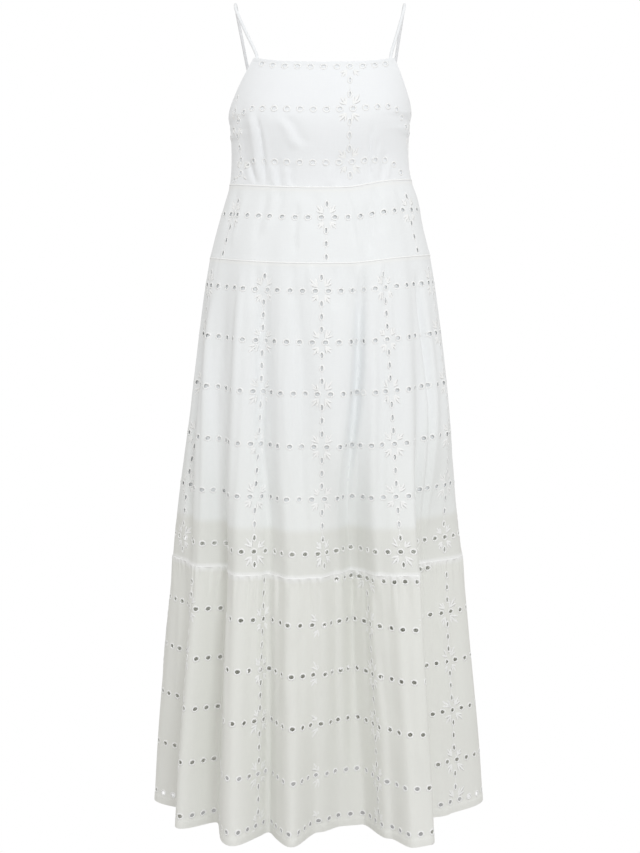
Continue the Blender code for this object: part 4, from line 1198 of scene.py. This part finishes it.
def strap(name, side, points=90, round_sides=14):
    front, back = FRONT_CORNER - 1.5, BACK_CORNER + 1.5
    front_edge, back_edge = float(top_edge(front)), float(top_edge(back))
    knots = [behind_edge(side * front, front_edge - 0.016), behind_edge(side * front, front_edge + 0.004)]
    shoulder = [np.array((side * x, y, z)) for x, y, z in SHOULDER]
    tail = [behind_edge(side * back, back_edge + 0.004), behind_edge(side * back, back_edge - 0.016)]
    knots += [(knots[1] + shoulder[0]) / 2, *shoulder, (shoulder[-1] + tail[0]) / 2, *tail]
    places = -np.arange(len(knots), dtype=float)
    at = places[-1] * np.arange(points) / (points - 1)
    path = smooth_through(places, np.array(knots), at)
    ahead = np.gradient(path, axis=0)
    ahead /= np.linalg.norm(ahead, axis=1)[:, None]
    # across the strap: the way that the shoulder runs, kept square to the path
    across = np.array((side, 0.0, 0.0)) - ahead * ahead[:, :1] * side
    across /= np.linalg.norm(across, axis=1)[:, None]
    outwards = np.cross(across, ahead)
    turned = 2 * math.pi * np.arange(round_sides) / round_sides
    ring = np.cos(turned)[None, :, None] * across[:, None] + np.sin(turned)[None, :, None] * outwards[:, None]
    # a turned tube is a little uneven in thickness
    uneven = 1.0 - 0.02 * (1 + np.sin(np.arange(points) * 0.31 + 0.8 * np.sin(np.arange(points) * 0.17)))
    tube = path[:, None] + ring * (STRAP_RADIUS * uneven)[:, None, None]
    faces = [(i * round_sides + k, i * round_sides + (k + 1) % round_sides,
              (i + 1) * round_sides + (k + 1) % round_sides, (i + 1) * round_sides + k)
             for i in range(points - 1) for k in range(round_sides)]
    faces.append(tuple(range(round_sides))[::-1])
    faces.append(tuple((points - 1) * round_sides + k for k in range(round_sides)))
    mesh = bpy.data.meshes.new(name)
    mesh.from_pydata(tube.reshape(-1, 3).tolist(), [], faces)
    mesh.update()
    volume = sum(face.center.dot(face.normal) * face.area for face in mesh.polygons)
    if volume < 0:
        mesh.flip_normals()
    flat = mesh.uv_layers.new(name="flat")
    run = np.concatenate([[0.0], np.cumsum(np.linalg.norm(np.diff(path, axis=0), axis=1))])
    for loop in mesh.loops:
        i, k = divmod(loop.vertex_index, round_sides)
        flat.data[loop.index].uv = (k / round_sides * 2 * math.pi * STRAP_RADIUS, run[i])
    mesh.shade_smooth()
    piece = bpy.data.objects.new(name, mesh)
    bpy.context.scene.collection.objects.link(piece)
    print(name, "is", round(float(run[-1]), 3), "m long")
    return piece


# painted shade for the strap's back part, where it runs behind the shoulder
STRAP_IN_SHADE = (0.865, 0.868, 0.885, 1.0)
STRAP_AT_BACK_PAINTED_SHADE = (0.850, 0.853, 0.870, 1.0)
# how far along the strap from the front, and its colour there; from the shoulder back it is painted shade
STRAP_SHADES = ((0.0, DOUBLED), (0.115, DOUBLED), (0.165, STRAP_IN_SHADE), (0.33, STRAP_AT_BACK_PAINTED_SHADE))
STRAP_COTTON = cotton("strap_cotton", STRAP_SHADES, threads=1200.0)
for name, side in (("strap_left", -1), ("strap_right", 1)):
    wear(strap(name + "_tube", side), name, STRAP_COTTON)

# %% [markdown]
# The photograph was taken from in front, from about a third of the way down the dress, and tilted down by six
# degrees. The camera repeats that.
# %% Camera
EYE = (0.0, -2.6, -0.4336)
TILTED_DOWN = 5.9287
lens = bpy.data.cameras.new("camera")
lens.sensor_width = 36.0
lens.lens = 64.894
camera = bpy.data.objects.new("camera", lens)
camera.location = EYE
camera.rotation_euler = (math.radians(90 - TILTED_DOWN), 0.0, 0.0)
bpy.context.scene.collection.objects.link(camera)
bpy.context.scene.camera = camera

# %% [markdown]
# The light is a plain white studio: even light from all round, one large soft lamp in front, a little to the
# right, and a weak lamp at each side of the bodice. One more weak lamp, inside the skirt, stands for the
# daylight that thin cotton lets through, and keeps the eyelets grey, not black. The camera sees the walls as
# pure white.
# %% Studio
scene = bpy.context.scene
scene.view_settings.view_transform = "Standard"
world = bpy.data.worlds.new("studio")
world.use_nodes = True
scene.world = world
tree = world.node_tree
tree.nodes.clear()
seen = add(tree, "ShaderNodeLightPath").outputs["Is Camera Ray"]
around = add(tree, "ShaderNodeBackground", {"Color": (1.0, 0.993, 0.980, 1.0), "Strength": 0.80})
backdrop = add(tree, "ShaderNodeBackground", {"Color": (1.0, 1.0, 1.0, 1.0), "Strength": 1.0})
either = add(tree, "ShaderNodeMixShader", {0: seen, 1: around.outputs[0], 2: backdrop.outputs[0]})
add(tree, "ShaderNodeOutputWorld", {"Surface": either.outputs[0]})


def lamp(name, place, aim, size, power, colour):
    data = bpy.data.lights.new(name, "AREA")
    data.shape = "DISK"
    data.size = size
    data.energy = power
    data.color = colour
    made = bpy.data.objects.new(name, data)
    made.location = place
    made.rotation_euler = (Vector(aim) - Vector(place)).to_track_quat("-Z", "Y").to_euler()
    made.visible_camera = False
    scene.collection.objects.link(made)


lamp("key", (0.70, -2.92, 0.4), (0, 0, -0.65), 1.0, 23.0, (0.94, 0.97, 1.0))
lamp("fill left", (-0.9, -0.5, 0.08), (0, 0, -0.20), 0.4, 0.60, (0.96, 0.98, 1.0))
lamp("fill right", (0.9, -0.5, 0.08), (0, 0, -0.20), 0.4, 0.45, (0.96, 0.98, 1.0))
lamp("light through the cloth", (0, -0.02, -0.60), (0, 0, -1.3), 0.16, 0.45, (1.0, 1.0, 0.96))

# %% [markdown]
# The floor gives back less light than the walls, so the hem is a little darker than the bodice. The camera
# sees it as white too, but for a shade behind the dress. The real dress has darker cloth and floor behind its
# lowest eyelets, and they would look white without that shade. A second piece of floor carries it as an
# attribute of its points. It starts just behind the line where the camera, looking past the hem, comes to the
# floor, so it shows through the eyelets of the hem and not under it.
# %% The floor
FLOOR = -1.5
FLOOR_REACH = 9.0
DARKEST_SHADE = 0.36
PALE_FLOOR = bpy.data.materials.new("pale_floor")
PALE_FLOOR.use_nodes = True
tree = PALE_FLOOR.node_tree
tree.nodes.clear()
seen = add(tree, "ShaderNodeLightPath").outputs["Is Camera Ray"]
shade = add(tree, "ShaderNodeAttribute", attribute_name="shade").outputs["Fac"]
fade = add(tree, "ShaderNodeMapRange", {"Value": shade, "To Min": 1.0, "To Max": DARKEST_SHADE},
           interpolation_type="SMOOTHSTEP")
glow = add(tree, "ShaderNodeEmission", {"Color": fade.outputs["Result"]})
matt = add(tree, "ShaderNodeBsdfDiffuse", {"Color": (0.55, 0.54, 0.52, 1.0)})
mixed = add(tree, "ShaderNodeMixShader", {0: seen, 1: matt.outputs[0], 2: glow.outputs[0]})
add(tree, "ShaderNodeOutputMaterial", {"Surface": mixed.outputs[0]})


def floor_piece(name, points, faces, shades):
    """A piece of floor that the camera sees as white, less its shade, and that gives back a pale light."""
    mesh = bpy.data.meshes.new(name)
    mesh.from_pydata(points, [], faces)
    mesh.attributes.new("shade", "FLOAT", "POINT").data.foreach_set("value", np.array(shades, float))
    mesh.materials.append(PALE_FLOOR)
    piece = bpy.data.objects.new(name, mesh)
    scene.collection.objects.link(piece)


corners = [(x * FLOOR_REACH, y * FLOOR_REACH, FLOOR) for x, y in ((-1, -1), (1, -1), (1, 1), (-1, 1))]
floor_piece("floor", corners, [(0, 1, 2, 3)], [0] * 4)

# %% The shade behind the dress
SHADE_HALF_WIDTH = 0.325
SHADE_SIDES_FADE = 0.06
SHADE_END = 0.95
SHADE_STEPS = 130
SHADE_SMOOTHING = 0.004
# how far back, as a share of the shade's length, and how dark
SHADE_DEPTHS = ((-0.014, 0.0), (0.0, 0.45), (0.014, 0.85), (0.03, 1.0), (0.28, 1.0), (0.55, 0.62), (0.8, 0.2),
                (1.0, 0.0))


def floor_seen_past(points):
    """Where the camera's lines of sight through these points come to the floor."""
    eye = np.array(EYE)
    return eye + (points - eye) * ((FLOOR - eye[2]) / (points[:, 2] - eye[2]))[:, None]


seen_floor = floor_seen_past(drape(np.linspace(-89.5, 89.5, 1433), np.full(1433, HEM + 0.010)))
shade_x = np.linspace(-SHADE_HALF_WIDTH, SHADE_HALF_WIDTH, SHADE_STEPS + 1)
nearest_y = np.array([seen_floor[np.abs(seen_floor[:, 0] - x) < 0.005, 1].min() for x in shade_x])
front_y = np.array([nearest_y[max(0, i - 2):i + 3].max() for i in range(SHADE_STEPS + 1)])
near = np.exp(-0.5 * ((shade_x[:, None] - shade_x) / SHADE_SMOOTHING) ** 2)
front_y = near @ front_y / near.sum(1)
beside = ease((SHADE_HALF_WIDTH - np.abs(shade_x)) / SHADE_SIDES_FADE)
points = [(x, y, FLOOR + 0.0005) for back, _ in SHADE_DEPTHS
          for x, y in zip(shade_x, front_y + back * (SHADE_END - front_y))]
across = SHADE_STEPS + 1
faces = [(k * across + i, k * across + i + 1, (k + 1) * across + i + 1, (k + 1) * across + i)
         for k in range(len(SHADE_DEPTHS) - 1) for i in range(SHADE_STEPS)]
floor_piece("shade_on_the_floor", points, faces, np.concatenate([dark * beside for _, dark in SHADE_DEPTHS]))
print("the shade starts from", front_y.min().round(3), "to", front_y.max().round(3), "m behind the middle")

# %% Count the triangles and finish
bpy.context.view_layer.update()
counts = {piece.name: len(piece.data.loops) - 2 * len(piece.data.polygons) for piece in scene.objects
          if piece.type == "MESH" and not piece.hide_render and "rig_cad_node" not in piece}
largest = max(counts, key=counts.get)
print("triangles in all:", sum(counts.values()), "and in the largest piece:", counts[largest], largest)
